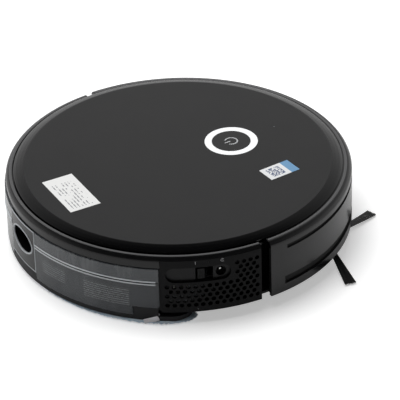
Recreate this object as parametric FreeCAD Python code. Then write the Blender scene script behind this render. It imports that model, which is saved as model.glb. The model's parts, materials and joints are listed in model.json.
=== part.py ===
import FreeCAD, Part
import math
import os

# Robot vacuum with a mopping plate. Millimetres. Z is up and z = 0 is the floor.
# The bumper faces -Y, the bin and water tank come out towards +Y, and the robot's own
# right side (grille, power switch, charging socket) is towards -X.

os.makedirs("parts", exist_ok=True)
Vector = FreeCAD.Vector
X_AXIS = Vector(1, 0, 0)
Y_AXIS = Vector(0, 1, 0)
Z_AXIS = Vector(0, 0, 1)
ORIGIN = Vector(0, 0, 0)

# ---- reach of cutting boxes, past the whole robot ----
far = 400.0
high = 200.0

# ---- overall sizes ----
bumper_radius = 172.5
housing_radius = 171.2
top_height = 79.0
underside_height = 13.5
shell_wall = 2.5
floor_thickness = 2.5
side_gap_front_y = 1.0          # bumper ends here on both sides
side_gap_rear_y = 10.2          # rear shell starts here

# ---- clearances ----
slide_clearance = 0.3           # between pieces that slide past each other
turn_clearance = 0.05           # radial, shaft in bearing
seat_clearance = 0.3            # between a piece and the opening it drops into

# ---- top cover and rim ----
plateau_radius = 152.4
cover_radius = 163.0
cover_thickness = 2.2
cover_edge_height = 75.8        # top of the cover's rim
cover_edge_thickness = 0.9
cover_gap = 1.5                 # ring-shaped gap between cover and rim
rim_height = 74.6
rim_flat_width = 3.5
shoulder_steps = 8
rim_drop = 5.2                  # height of the rounded shoulder
rear_rim_bottom = 40.0          # inside the bay, where the rim ends
rear_rim_half_angle = 53.0      # half of the rim's arc over the bay
front_wall_end_angle = 4.0      # the wall behind the bumper stops short of each end
button_opening_length = 23.0    # half of the deck's opening under the button
button_opening_width = 40.0
roof_rib_rear = 140.0           # end of the ribs over the bay
deck_top = 72.0
deck_thickness = 2.5
cover_rib_radius = 149.0
rib_width = 2.0

# ---- start button and light ring ----
button_y = -62.5
button_radius = 19.3
ring_inner_radius = 19.6
ring_outer_radius = 26.6
ring_flange_radius = 29.0
ring_flange_thickness = 1.5
button_travel = 0.8
button_skirt = 1.2              # width of the button's retaining flange
board_top = 63.6
board_thickness = 1.6
board_half_width = 52.0
board_front_y = -92.0
board_rear_y = 8.0
pinhole_y = -113.5
pinhole_radius = 0.9

# ---- labels ----
label_length = 63.0
label_width = 32.4
label_centre = (4.1, 118.6)
label_turn = -2.5
code_length = 33.7
code_width = 21.4
code_centre = (-73.0, -72.8)
code_turn = 3.0
label_thickness = 0.15

# ---- bumper ----
bumper_wall = 3.4
spring_x = 46.0
spring_half_span = 10.0
spring_bottom = 34.0
spring_top = 42.0
spring_strip = 1.0              # thickness of the leaf
bumper_bottom = 13.5
bumper_flange_inner = 158.5
bumper_flange_thickness = 2.0
bumper_foot_inner = 160.0
bumper_groove_height = 63.6     # upper groove
bumper_groove_width = 4.4
bumper_groove_depth = 1.6
bumper_groove_start = 6.0       # degrees in from the bumper's end
bumper_channel_top = 30.5       # deep lower groove
bumper_channel_bottom = 22.0
bumper_channel_depth = 2.6
bumper_channel_start = 5.0
window_half_angle = 32.0        # dark sensor window at the front
window_bottom = 33.0
window_top = 55.0
window_thickness = 1.0
front_wall_radius = 154.0       # chassis wall behind the bumper
front_wall = 1.8
front_floor_radius = 164.0

# ---- side panels, grilles, switch and charging socket ----
panel_rear_angle = 143.2
panel_front_angle = 176.4
panel_top = 71.4
panel_bottom = 13.3
grille_hole_radius = 2.25
grille_pitch_angle = 2.28
grille_row_pitch = 5.18
grille_first_row = 21.3
grille_lower_rows = 5
grille_upper_rows = 4
grille_start_angle = 145.2
grille_end_angle = 175.7
grille_upper_start = 167.4
slot_start_angle = 144.8
slot_end_angle = 165.9
slot_bottom = 47.0
slot_top = 63.5
tray_depth = 3.4
tray_wall = 1.6
switch_angle = 156.2
switch_recess_start = 154.4
switch_recess_end = 160.2
switch_width = 6.6
switch_height = 11.0
jack_angle = 162.8
jack_height = 55.0
jack_bore_radius = 3.2
jack_pin_radius = 1.0
jack_body_radius = 5.2
jack_length = 11.0
jack_setback = 2.5
jack_floor = 3.0                # closed end behind the bore
pad_light_angle = 154.9

# ---- battery width ----
battery_half_width = 37.0

# ---- wheels and their arms ----
wheel_radius = 33.0
wheel_centre_x = 118.0
wheel_width = 22.0
tyre_thickness = 7.0
hub_radius = wheel_radius - tyre_thickness
hub_dish_width = 4.0            # rim left round the dish
hub_cap_radius = 8.0
hub_hole_radius = 3.2
hub_hole_circle = 15.0
hub_hole_count = 5
tread_count = 24
tread_depth = 2.2
well_clearance_side = 5.0
well_clearance_end = 8.5
well_wall = 1.6
pivot_y = -48.0
pivot_z = 40.0
pivot_radius = 3.0
arm_eye_radius = 6.5
arm_inner_x = 86.0
arm_outer_x = 103.4
arm_wall = 2.0
drive_module = 0.8
wheel_gear_teeth = 48
motor_pinion_teeth = 12
gear_width = 8.0
gear_line_angle = 160.0         # from the wheel axle to the motor shaft
wheel_shaft_radius = 4.0
motor_radius = 12.0
motor_battery_gap = 13.0        # drive motor to battery, for the compartment's wall
motor_shaft_radius = 1.5
motor_length = arm_inner_x - battery_half_width - motor_battery_gap

# ---- caster ----
caster_y = -125.0
caster_wheel_radius = 12.0
caster_wheel_width = 14.0
caster_trail = 7.0
caster_plate_radius = 21.0
caster_plate_bottom = 25.5
caster_plate_thickness = 2.5
caster_stem_radius = 4.0
caster_stem_top = 40.0
caster_cup_radius = 24.0
caster_cup_wall = 1.6
caster_axle_radius = 1.8
caster_cheek = 2.5
caster_cheek_gap = 0.6
caster_foot_radius = 6.0

# ---- side brushes ----
side_brush_x = 110.3
side_brush_y = -102.0
side_brush_hub_radius = 9.0
side_brush_reach = 74.0
side_brush_angles = (168.7, 289.7, 49.7)
side_brush_root_width = 4.5
side_brush_tip_width = 7.0
side_brush_shaft_radius = 3.0
side_brush_shaft_reach = 8.0    # shaft above the floor of the tray
side_brush_hub_bottom = 5.0
side_brush_hub_gap = 0.7        # hub to the underside
tuft_start = 5.0                # from the hub's centre
tuft_bend = 20.0                # where a tuft turns down to the floor
tuft_root = (5.5, 9.0)          # lower and upper side, at the start
tuft_knee = (5.0, 8.5)          # at the bend
tuft_tip = (0.8, 3.0)           # at the end
side_motor_radius = 13.6
side_motor_height = 30.0
side_motor_head_radius = 9.0
side_motor_head_height = 8.0

# ---- main brush and its drive ----
brush_y = 42.0
brush_radius = 17.5
brush_floor_gap = 2.5           # bristle tips to the floor
brush_z = brush_radius + brush_floor_gap
brush_core_radius = 9.0
brush_half_length = 76.0
brush_fins = 6
brush_fin_width = 2.4
brush_groove_radius = 12.5
brush_groove_width = 5.0
brush_groove_x = 25.0
brush_shaft_radius = 3.0
chamber_clearance = 1.5
chamber_wall = 1.6
guard_thickness = 2.2
guard_front_margin = 4.5
guard_rear_margin = 3.5
guard_side_margin = 4.0
latch_x = 55.0
latch_half_width = 8.0
latch_depth = 5.5
brush_module = 0.7
roller_gear_teeth = 14
idler_teeth = 36
brush_pinion_teeth = 12
roller_idler_angle = 85.0
idler_pinion_angle = 110.0
brush_gear_width = 7.0
brush_motor_radius = 11.0
brush_motor_length = 38.0
case_wall = 1.5

# ---- air way from the bin to the fan ----
air_way_front = 74.0
air_way_rear = 92.0
air_way_bottom = 50.0
air_way_top = 60.0
duct_wall = 2.0
duct_top = 61.5

# ---- fan ----
fan_x = -118.0
fan_y = 72.0
fan_case_radius = 28.0
fan_case_bottom = 17.0
fan_case_top = 45.0
impeller_radius = 22.0
impeller_blades = 9
fan_motor_radius = 16.0
fan_inlet_radius = 12.0
fan_plate_height = 13.6         # impeller plate above the case's foot
fan_outlet_angle = -30.0
blade_start = 4.0
blade_sweep = 22.0
blade_top = 9.5
fan_wall = 1.6

# ---- speaker ----
speaker_radius = 18.0
speaker_height = 12.0
speaker_cone_radius = 14.0
speaker_dome_radius = 5.0

# ---- bin and tank module ----
module_half_width = 136.0
tank_front_y = 104.0
bin_half_width = 84.0
bin_front_y = 66.0
module_top = 62.5
bin_bottom = 17.0
tank_bottom = 9.0
tank_step_x = 119.0             # outboard of this the tank is cut higher, over the clip block
tank_step_z = 19.0
seam_bottom = 45.2
seam_top = 48.6
bin_wall = 2.0
lid_lip_width = 1.5
tank_wall = 2.2
inlet_half_width = 60.0
inlet_bottom = 24.0
inlet_top = 36.0
filter_shelf_height = 44.0
filter_shelf_thickness = 2.0
filter_shelf_width = 18.0
filter_depth = 12.0
filter_pleats = 11
pleat_width = 1.4
handle_angle = 86.5
handle_half_angle = 8.5
handle_bottom = 16.2
handle_depth = 26.0
handle_slot_length = 42.0
handle_slot_height = 25.0
handle_slot_z = 41.5
handle_slot_depth = 14.0
release_half_width = 13.0
release_half_height = 6.0
release_thickness = 6.0
release_stand = 1.5
bay_clearance = 0.8
release_travel = 3.0

# ---- mop ----
mop_half_width = 146.0
mop_front_y = 69.0
mop_plate_bottom = 3.8
mop_plate_top = 8.7
mop_cloth_top = 3.5
mop_cloth_inset = 2.3           # cloth narrower than the plate, at each end
mop_cloth_radius = 169.6
mop_cloth_shift = (-6.0, -1.0)   # the cloth is put on a little askew
mop_front_corner = 12.0
mop_rear_corner = 16.0
clip_gap = 0.6                  # round each clip block

# ---- floor screws ----
screw_head_radius = 3.0
screw_head_height = 1.2
screw_shank_radius = 1.4
screw_length = 14.0
screw_boss_radius = 4.5
screw_boss_top = 32.0

# ---- battery ----
battery_front_y = -92.0
battery_rear_y = -24.0
battery_height = 22.0


# ================= helpers =================

def box(x0, x1, y0, y1, z0, z1):
    return Part.makeBox(x1 - x0, y1 - y0, z1 - z0, Vector(x0, y0, z0))


def cylinder(radius, x, y, z0, z1):
    return Part.makeCylinder(radius, z1 - z0, Vector(x, y, z0), Z_AXIS)


def cylinder_x(radius, x0, x1, y, z):
    return Part.makeCylinder(radius, x1 - x0, Vector(x0, y, z), X_AXIS)


def ring(outer, inner, z0, z1):
    return cylinder(outer, 0, 0, z0, z1).cut(cylinder(inner, 0, 0, z0 - 1, z1 + 1))


def polar(radius, degrees):
    angle = math.radians(degrees)
    return radius * math.cos(angle), radius * math.sin(angle)


def face_of(points):
    corners = [Vector(*point) for point in points]
    return Part.Face(Part.makePolygon(corners + corners[:1]))


def prism(points, z0, z1):
    """Upright prism on an (x, y) outline."""
    return face_of([(x, y, z0) for x, y in points]).extrude(Vector(0, 0, z1 - z0))


def prism_x(points, x0, x1):
    """Prism along X on a (y, z) outline."""
    return face_of([(x0, y, z) for y, z in points]).extrude(Vector(x1 - x0, 0, 0))


def turned(profile):
    """Solid of revolution about Z from (radius, z) points."""
    return face_of([(r, 0, z) for r, z in profile]).revolve(ORIGIN, Z_AXIS, 360)


def wedge(start, end, z0, z1):
    """Pie slice from the Z axis between two angles, wider than the robot."""
    reach = 1.5 * bumper_radius
    steps = max(2, int((end - start) / 60) + 1)
    arc = [polar(reach, start + (end - start) * i / steps) for i in range(steps + 1)]
    return prism([(0, 0)] + arc, z0, z1)


def sector(outer, inner, start, end, z0, z1):
    return ring(outer, inner, z0, z1).common(wedge(start, end, z0 - 1, z1 + 1))


def fuse(first, *others):
    return first.fuse(list(others)).removeSplitter()


def mirrored(shape):
    """The same piece on the robot's other side."""
    return shape.mirror(ORIGIN, X_AXIS)


def turned_to(shape, degrees, centre=ORIGIN, axis=Z_AXIS):
    copy = shape.copy()
    copy.rotate(centre, axis, degrees)
    return copy


def radial_cylinder(radius, inner, outer, degrees, z):
    x, y = polar(inner, degrees)
    dx, dy = polar(1, degrees)
    return Part.makeCylinder(radius, outer - inner, Vector(x, y, z), Vector(dx, dy, 0))


def save(name, shape):
    solids = shape.Solids
    whole = solids[0] if len(solids) == 1 else Part.makeCompound(solids)
    whole.exportStep("parts/" + name + ".step")
    print(name, len(solids), "solids", round(shape.Volume), "mm3", "valid" if shape.isValid() else "BAD")


def involute_gear(module, teeth, x0, x1, y, z, phase, bore):
    """Spur gear along X; phase is the angle of one tooth from +Y towards +Z, in degrees."""
    pitch = module * teeth / 2
    base = pitch * math.cos(math.radians(20))
    tip = pitch + 0.9 * module
    root = pitch - 1.15 * module
    backlash = 0.12 * module
    involute_at_pitch = math.tan(math.radians(20)) - math.radians(20)
    half_tooth = (math.pi * module / 2 - backlash) / (2 * pitch)
    flank = []
    for i in range(5):
        radius = max(base, root) + (tip - max(base, root)) * i / 4
        pressure = math.acos(min(1, base / radius))
        spread = half_tooth + involute_at_pitch - (math.tan(pressure) - pressure)
        flank.append((radius, spread))
    points = []
    for tooth in range(teeth):
        middle = math.radians(phase) + 2 * math.pi * tooth / teeth
        side = [(root, flank[0][1])] + flank
        for radius, spread in side:
            points.append((radius, middle - spread))
        for radius, spread in reversed(side):
            points.append((radius, middle + spread))
    outline = [(y + r * math.cos(a), z + r * math.sin(a)) for r, a in points]
    return prism_x(outline, x0, x1).cut(cylinder_x(bore, x0 - 1, x1 + 1, y, z))


def mesh_phase(phase, teeth, mate_teeth, line_angle):
    """Phase of the mating gear that lies towards line_angle from the first one."""
    return line_angle + 180 - (phase - line_angle) * teeth / mate_teeth + 180 / mate_teeth


def gear_centre(y, z, module, teeth, mate_teeth, line_angle):
    distance = module * (teeth + mate_teeth) / 2
    dy, dz = polar(distance, line_angle)
    return y + dy, z + dz


def rim_profile(radius, top, inner, wall, bottom, band_under):
    """Side wall with a rounded shoulder and a flat band on top; (radius, z) points."""
    shoulder = [(radius, bottom)]
    flat_end = radius - rim_flat_width - 1.0
    for i in range(shoulder_steps + 1):
        angle = math.radians(90 * i / shoulder_steps)
        shoulder.append((flat_end + (radius - flat_end) * math.cos(angle),
                         top - rim_drop + rim_drop * math.sin(angle)))
    under = [(inner, top), (inner, band_under), (flat_end - 1.0, band_under),
             (radius - wall, top - rim_drop - 1.0), (radius - wall, bottom)]
    return shoulder + under


# ================= casing =================

rim_inner_radius = cover_radius + cover_gap
deck_bottom = deck_top - deck_thickness
floor_top = underside_height + floor_thickness
panel_outer = housing_radius
panel_inner = housing_radius - shell_wall
floor_radius = panel_inner - 0.3
bay_side = bin_half_width + bay_clearance
bay_front = bin_front_y - bay_clearance
bay_step = tank_front_y - bay_clearance
bay_roof = module_top + bay_clearance
tyre_inner_x = wheel_centre_x - wheel_width / 2 - well_clearance_side + 2
tyre_outer_x = wheel_centre_x + wheel_width / 2 + well_clearance_side
tyre_well_y = wheel_radius + well_clearance_end
axle_z = wheel_radius
gear_tip = drive_module * (wheel_gear_teeth / 2 + 0.9)
arm_case_radius = gear_tip + 0.8 + arm_wall
arm_well_inner = arm_inner_x - 3.0
arm_well_front = pivot_y - arm_eye_radius - 3.0
arm_well_rear = arm_case_radius + 2.5
motor_y, motor_z = gear_centre(0, axle_z, drive_module, wheel_gear_teeth, motor_pinion_teeth,
                               gear_line_angle)
idler_y, idler_z = gear_centre(brush_y, brush_z, brush_module, roller_gear_teeth, idler_teeth,
                               roller_idler_angle)
pinion_y, pinion_z = gear_centre(idler_y, idler_z, brush_module, idler_teeth, brush_pinion_teeth,
                                 idler_pinion_angle)
chamber_radius = brush_radius + chamber_clearance
chamber_half = brush_half_length + chamber_clearance
chamber_front = brush_y - chamber_radius - chamber_wall
chamber_rear = brush_y + chamber_radius + chamber_wall
chamber_top = brush_z + chamber_radius + chamber_wall
case_inner_x = chamber_half + chamber_wall + 3.0
brush_gear_x = case_inner_x + case_wall + 0.6
case_outer_x = brush_gear_x + brush_gear_width + 0.8 + case_wall
brush_motor_end = case_inner_x
battery_bottom = floor_top + slide_clearance
cover_front_y = battery_front_y - 3.0
cover_rear_y = battery_rear_y + 3.0
cover_half_width = battery_half_width + 3.0
screw_places = ((-70, -118), (70, -118), (-136, -56), (136, -56), (-148, 52), (148, 52), (-60, -4), (60, -4))
# centre and half size in x and y of each floor-edge sensor window
cliff_places = ((-50, -134, 8, 4), (50, -134, 8, 4), (-142, -24, 4, 8), (142, -24, 4, 8))
contact_places = (-40, 40)
contact_y = -117.0


def both_sides(make):
    shape = make()
    return [shape, mirrored(shape)]


def side_motor_pocket(radius, z0, z1):
    pocket = cylinder(radius, side_brush_x, side_brush_y, z0, z1)
    return [pocket, mirrored(pocket)]


def tyre_well(grow, z0, z1):
    return box(tyre_inner_x - grow, tyre_outer_x + grow, -tyre_well_y - grow, tyre_well_y + grow, z0, z1)


def arm_well(z0, z1):
    return box(arm_well_inner, tyre_inner_x, arm_well_front, arm_well_rear, z0, z1)


def base_tray():
    """Bottom of the robot: floor, wheel wells, brush chamber, caster cup and bay walls."""
    front = cylinder(front_floor_radius, 0, 0, underside_height, floor_top)
    rear_part = cylinder(floor_radius, 0, 0, underside_height, floor_top)
    rear_part = rear_part.common(box(-far, far, side_gap_rear_y, far, 0, high))
    tray = fuse(front, rear_part)
    # wheel wells
    for well in both_sides(lambda: tyre_well(well_wall, underside_height, deck_bottom)):
        tray = tray.fuse(well)
    # brush chamber
    tray = tray.fuse(box(-chamber_half - chamber_wall, chamber_half + chamber_wall,
                         chamber_front, chamber_rear, underside_height, chamber_top))
    # caster cup with its bearing boss
    tray = tray.fuse(cylinder(caster_cup_radius + caster_cup_wall, 0, caster_y,
                              underside_height, caster_plate_bottom + caster_plate_thickness + 2.3))
    tray = tray.fuse(cylinder(caster_stem_radius + 3.0, 0, caster_y, floor_top, caster_stem_top))
    # pockets for the side brush motors
    for pocket in side_motor_pocket(side_motor_radius + seat_clearance + 1.5, underside_height, 44.0):
        tray = tray.fuse(pocket)
    # walls of the bin bay
    tray = tray.fuse(box(-bay_side - bin_wall, bay_side + bin_wall, bay_front - bin_wall, bay_step,
                         underside_height, bay_roof))
    step_wall = box(-module_half_width - 1, module_half_width + 1, bay_step - bin_wall, bay_step,
                    underside_height, bay_roof)
    tray = tray.fuse(step_wall.common(cylinder(floor_radius, 0, 0, 0, high)))
    # battery compartment walls
    compartment = box(-cover_half_width - 2, cover_half_width + 2, cover_front_y - 2, cover_rear_y + 2,
                      underside_height, battery_bottom + battery_height)
    tray = tray.fuse(compartment)
    # cradle for the brush motor, on top of the chamber
    cradle = box(50, 76, pinion_y - 8, pinion_y + 8, chamber_top - 1, pinion_z - 4)
    tray = tray.fuse(cradle)
    # ears that hold the wheel arms
    ear_low = box(arm_inner_x - 6.0, arm_inner_x - 1.0, pivot_y - 6, pivot_y + 6,
                  underside_height, pivot_z + 6)
    ear_top = box(arm_outer_x + 0.6, arm_outer_x + 4.6, pivot_y - 6, -tyre_well_y,
                  underside_height, pivot_z + 6)
    tray = tray.fuse([ear_low, mirrored(ear_low), ear_top, mirrored(ear_top)])
    # screw bosses
    for x, y in screw_places:
        tray = tray.fuse(cylinder(screw_boss_radius, x, y, floor_top - 1, screw_boss_top))

    cuts = []
    cuts += both_sides(lambda: tyre_well(0, 0, deck_bottom + 1))
    cuts += both_sides(lambda: arm_well(0, deck_bottom + 1))
    cuts.append(cylinder_x(chamber_radius, -chamber_half, chamber_half, brush_y, brush_z))
    cuts.append(box(-chamber_half, chamber_half, brush_y - chamber_radius, brush_y + chamber_radius,
                    0, brush_z))
    cuts.append(cylinder_x(brush_shaft_radius + turn_clearance, -chamber_half - 5, chamber_half + 5,
                           brush_y, brush_z))
    cup_top = caster_plate_bottom + caster_plate_thickness + 0.4
    cuts.append(cylinder(caster_cup_radius, 0, caster_y, 0, cup_top))
    cuts.append(cylinder(caster_stem_radius + turn_clearance, 0, caster_y, 0, caster_stem_top + 5))
    cuts += side_motor_pocket(side_motor_radius + seat_clearance, floor_top, 50.0)
    cuts += side_motor_pocket(side_brush_shaft_radius + 1.5, 0, 50.0)
    # bin bay and the open region of the tank
    cuts.append(box(-bay_side, bay_side, bay_front, far, floor_top, high))
    cuts.append(box(-far, far, bay_step, far, 0, high))
    # suction mouth from the chamber into the bin
    cuts.append(box(-inlet_half_width, inlet_half_width, brush_y, bay_front + 1, inlet_bottom, inlet_top))
    # air way from the bin to the fan
    cuts.append(box(-bay_side - bin_wall - 1, -bay_side + 1, air_way_front, air_way_rear,
                    air_way_bottom, air_way_top))
    cuts.append(box(-battery_half_width - seat_clearance, battery_half_width + seat_clearance,
                    battery_front_y - seat_clearance, battery_rear_y + seat_clearance, 0, high))
    cuts.append(box(-cover_half_width, cover_half_width, cover_front_y, cover_rear_y, 0, floor_top))
    cuts.append(cylinder_x(brush_motor_radius + 0.1, 40, brush_motor_end + 5, pinion_y, pinion_z))
    for side in (arm_inner_x - 8, arm_outer_x - 2):
        bore = cylinder_x(pivot_radius + turn_clearance, side, side + 8, pivot_y, pivot_z)
        cuts += [bore, mirrored(bore)]
    for x, y in screw_places:
        cuts.append(cylinder(screw_head_radius + 0.2, x, y, 0, underside_height + screw_head_height))
        cuts.append(cylinder(screw_shank_radius + 0.1, x, y, 0, screw_boss_top - 2))
    for x, y, half_x, half_y in cliff_places:
        cuts.append(box(x - half_x, x + half_x, y - half_y, y + half_y, 0, floor_top + 1))
    for x in contact_places:
        cuts.append(box(x - 11, x + 11, contact_y - 4, contact_y + 4, 0, floor_top + 1))
    # room for the drive gear on the roller's end
    cuts.append(box(case_inner_x, case_outer_x, brush_y - 8, brush_y + 8, underside_height + 0.7, floor_top))
    tray = tray.cut(cuts)
    return tray.removeSplitter()


def rear_rim():
    wall = turned(rim_profile(housing_radius, rim_height, rim_inner_radius, shell_wall,
                              rear_rim_bottom, deck_top - 0.5))
    wall = wall.common(box(-far, far, side_gap_rear_y, far, 0, high))
    keep_above = box(-far, far, 0, far, panel_top + seat_clearance, high)
    bay_band = wedge(90 - rear_rim_half_angle, 90 + rear_rim_half_angle, bay_roof, high)
    return wall.common(fuse(keep_above, bay_band))


def upper_housing():
    """Deck under the top cover, the rear rim, the wall behind the bumper and the bay's roof."""
    deck = cylinder(front_floor_radius - 0.5, 0, 0, deck_bottom, deck_top)
    rear_deck = cylinder(panel_inner - 0.1, 0, 0, deck_bottom, deck_top)
    rear_deck = rear_deck.common(box(-far, far, side_gap_rear_y, far, 0, high))
    front_wall_ring = sector(front_wall_radius, front_wall_radius - front_wall,
                             180 + front_wall_end_angle, 360 - front_wall_end_angle,
                             floor_top, deck_bottom)
    roof = cylinder(panel_inner, 0, 0, bay_roof, bay_roof + 2.0)
    over_bin = box(-bay_side - bin_wall, bay_side + bin_wall, bay_front - bin_wall, far, 0, high)
    over_tank = box(-module_half_width - 1, module_half_width + 1, bay_step - bin_wall, far, 0, high)
    roof = roof.common(fuse(over_bin, over_tank))
    shape = deck.fuse([rear_deck, rear_rim(), front_wall_ring, roof])
    for x in (-bay_side, bay_side - 2):
        shape = shape.fuse(box(x, x + 2, bay_front - bin_wall, roof_rib_rear, bay_roof, deck_bottom))
    # bosses that carry the board
    for x in (-board_half_width + 4, board_half_width - 4):
        for y in (board_front_y + 4, board_rear_y - 4):
            shape = shape.fuse(cylinder(3.0, x, y, board_top, deck_bottom))
    # fixing ribs behind the side panels
    for post in both_sides(lambda: sector(panel_inner - 0.1, panel_inner - 3, panel_front_angle - 1.5,
                                          panel_front_angle, floor_top, deck_bottom)):
        shape = shape.fuse(post)
    cuts = [box(-button_opening_width, button_opening_width, button_y - button_opening_length,
                button_y + button_opening_length, 0, high)]
    cuts += [c.common(box(-far, far, -far, 0, 0, high))
             for c in side_motor_pocket(side_motor_radius + seat_clearance + 1.8, 0, 60)]
    # the fan motor and duct stand below the deck, the bay walls meet it
    shape = shape.cut(cuts)
    return shape.removeSplitter()


def top_cover():
    """Flat cover with a sloping edge, a hole for the button and a sticker field."""
    inner_top = top_height - cover_thickness
    edge_under = cover_edge_height - cover_edge_thickness
    profile = [(0, top_height), (plateau_radius, top_height), (plateau_radius + 1.2, top_height - 0.15),
               (plateau_radius + 4.5, top_height - 0.95), (plateau_radius + 8.0, top_height - 2.05),
               (cover_radius - 0.6, cover_edge_height + 0.25), (cover_radius, cover_edge_height - 0.2),
               (cover_radius, edge_under), (cover_radius - 2.5, edge_under), (plateau_radius, inner_top),
               (cover_rib_radius + rib_width, inner_top), (cover_rib_radius + rib_width, deck_top),
               (cover_rib_radius, deck_top), (cover_rib_radius, inner_top), (0, inner_top)]
    cover = turned(profile)
    hole = cylinder(ring_outer_radius + 0.1, 0, button_y, inner_top - 1, top_height + 1)
    pinhole = cylinder(pinhole_radius, 0, pinhole_y, inner_top - 1, top_height + 1)
    return cover.cut([hole, pinhole])


def light_ring():
    inner_top = top_height - cover_thickness
    body = cylinder(ring_outer_radius, 0, button_y, inner_top - ring_flange_thickness, top_height)
    flange = cylinder(ring_flange_radius, 0, button_y, inner_top - ring_flange_thickness, inner_top)
    bore = cylinder(ring_inner_radius, 0, button_y, 0, high)
    return body.fuse(flange).cut(bore).removeSplitter()


def start_button():
    """Round button that travels down inside the ring on to the board's switch."""
    flange_top = top_height - cover_thickness - ring_flange_thickness - slide_clearance
    cap = cylinder(button_radius, 0, button_y, flange_top - 1.5, top_height)
    flange = cylinder(button_radius + button_skirt, 0, button_y, flange_top - 1.5, flange_top)
    stem = cylinder(2.0, 0, button_y, board_top + 2.0 + slide_clearance + button_travel, flange_top - 1.0)
    hollow = cylinder(button_radius - 1.8, 0, button_y, flange_top - 2, top_height - 1.6)
    web = cylinder(3.0, 0, button_y, flange_top - 1.5, top_height - 1.0)
    return cap.fuse(flange).cut(hollow).fuse([web, stem]).removeSplitter()


def main_board():
    board = box(-board_half_width, board_half_width, board_front_y, board_rear_y,
                board_top - board_thickness, board_top)
    switch = cylinder(3.0, 0, button_y, board_top, board_top + 2.0)
    chip = box(-28, -14, -40, -26, board_top, board_top + 1.6)
    shield = box(14, 34, -34, -14, board_top, board_top + 2.4)
    coils = [cylinder(4, x, -12, board_top - board_thickness - 8, board_top - board_thickness)
             for x in (-30, -18, 24)]
    plugs = [box(x, x + 12, -88, -82, board_top, board_top + 5) for x in (-40, -20, 8, 28)]
    return fuse(board, switch, chip, shield, *(coils + plugs))


def label(length, width, centre, turn):
    plate = box(-length / 2, length / 2, -width / 2, width / 2, top_height, top_height + label_thickness)
    plate = turned_to(plate, turn)
    plate.translate(Vector(centre[0], centre[1], 0))
    return plate


# ================= side panels =================

def slot_shape(inner, outer, grow):
    """Long pocket with round ends, cut through the right panel."""
    half = (slot_top - slot_bottom) / 2
    middle = (slot_top + slot_bottom) / 2
    inset = math.degrees(half / panel_outer)
    body = sector(outer, inner, slot_start_angle + inset, slot_end_angle - inset,
                  slot_bottom - grow, slot_top + grow)
    ends = [radial_cylinder(half + grow, inner, outer, angle, middle)
            for angle in (slot_start_angle + inset, slot_end_angle - inset)]
    return body.fuse(ends)


def grille_holes(with_slot):
    holes = []
    rows = grille_lower_rows + grille_upper_rows
    for row in range(rows):
        z = grille_first_row + row * grille_row_pitch
        angle = grille_start_angle + (grille_pitch_angle / 2 if row % 2 else 0)
        while angle <= grille_end_angle:
            beside_slot = angle > grille_upper_start or row < grille_lower_rows
            if beside_slot or not with_slot and row < rows:
                holes.append(radial_cylinder(grille_hole_radius, panel_inner - 2, panel_outer + 2, angle, z))
            angle += grille_pitch_angle
    return holes


def side_panel(with_slot):
    panel = sector(panel_outer, panel_inner, panel_rear_angle, panel_front_angle, panel_bottom, panel_top)
    panel = panel.cut(grille_holes(with_slot))
    if with_slot:
        panel = panel.cut(slot_shape(panel_inner - 1, panel_outer + 1, 0))
        panel = panel.cut(radial_cylinder(0.7, panel_outer - 0.6, panel_outer + 1, pad_light_angle, 16.4))
        return panel
    return mirrored(panel)


def control_tray():
    """Recessed floor behind the slot, with the switch's window and the socket's pad."""
    back = panel_inner - tray_depth
    tray = slot_shape(back - tray_wall, panel_inner, tray_wall)
    tray = tray.common(cylinder(panel_inner - 0.1, 0, 0, 0, high))
    tray = tray.cut(slot_shape(back, panel_inner + 1, 0))
    window = sector(panel_inner, back - tray_wall - 1, switch_recess_start, switch_recess_end,
                    (slot_bottom + slot_top - switch_height) / 2 - slide_clearance,
                    (slot_bottom + slot_top + switch_height) / 2 + slide_clearance)
    tray = tray.cut(window)
    # raised pads each side of the switch
    pad = slot_shape(back - 0.5, panel_inner - 0.5, 0)
    pad = pad.common(wedge(slot_start_angle - 5, switch_recess_start, 0, high))
    socket_pad = slot_shape(back - 0.5, panel_inner - 0.5, 0)
    socket_pad = socket_pad.common(wedge(switch_recess_end, slot_end_angle + 5, 0, high))
    bore = radial_cylinder(jack_body_radius + 0.05, back - 10, panel_inner + 1, jack_angle, jack_height)
    return tray.fuse([pad, socket_pad]).cut(bore).removeSplitter()


def power_switch():
    middle = (slot_bottom + slot_top) / 2
    knob = box(panel_inner - tray_depth - tray_wall - 2.5, panel_inner + 0.8, -switch_width / 2,
               switch_width / 2, middle - switch_height / 2, middle + switch_height / 2)
    grips = [box(panel_inner + 0.2, panel_inner + 2, y - 0.35, y + 0.35, middle - 4, middle + 4)
             for y in (-1.8, 0, 1.8)]
    return turned_to(knob.cut(grips), switch_angle)


def dc_jack():
    outer_end = panel_inner - tray_depth + 0.5 - jack_setback
    inner_end = outer_end - jack_length
    body = radial_cylinder(jack_body_radius, inner_end, outer_end, jack_angle, jack_height)
    bore = radial_cylinder(jack_bore_radius, inner_end + jack_floor, outer_end + 1, jack_angle, jack_height)
    pin = radial_cylinder(jack_pin_radius, inner_end + 1.0, outer_end + 1.0, jack_angle, jack_height)
    return body.cut(bore).fuse(pin).removeSplitter()


# ================= bumper =================

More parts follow.
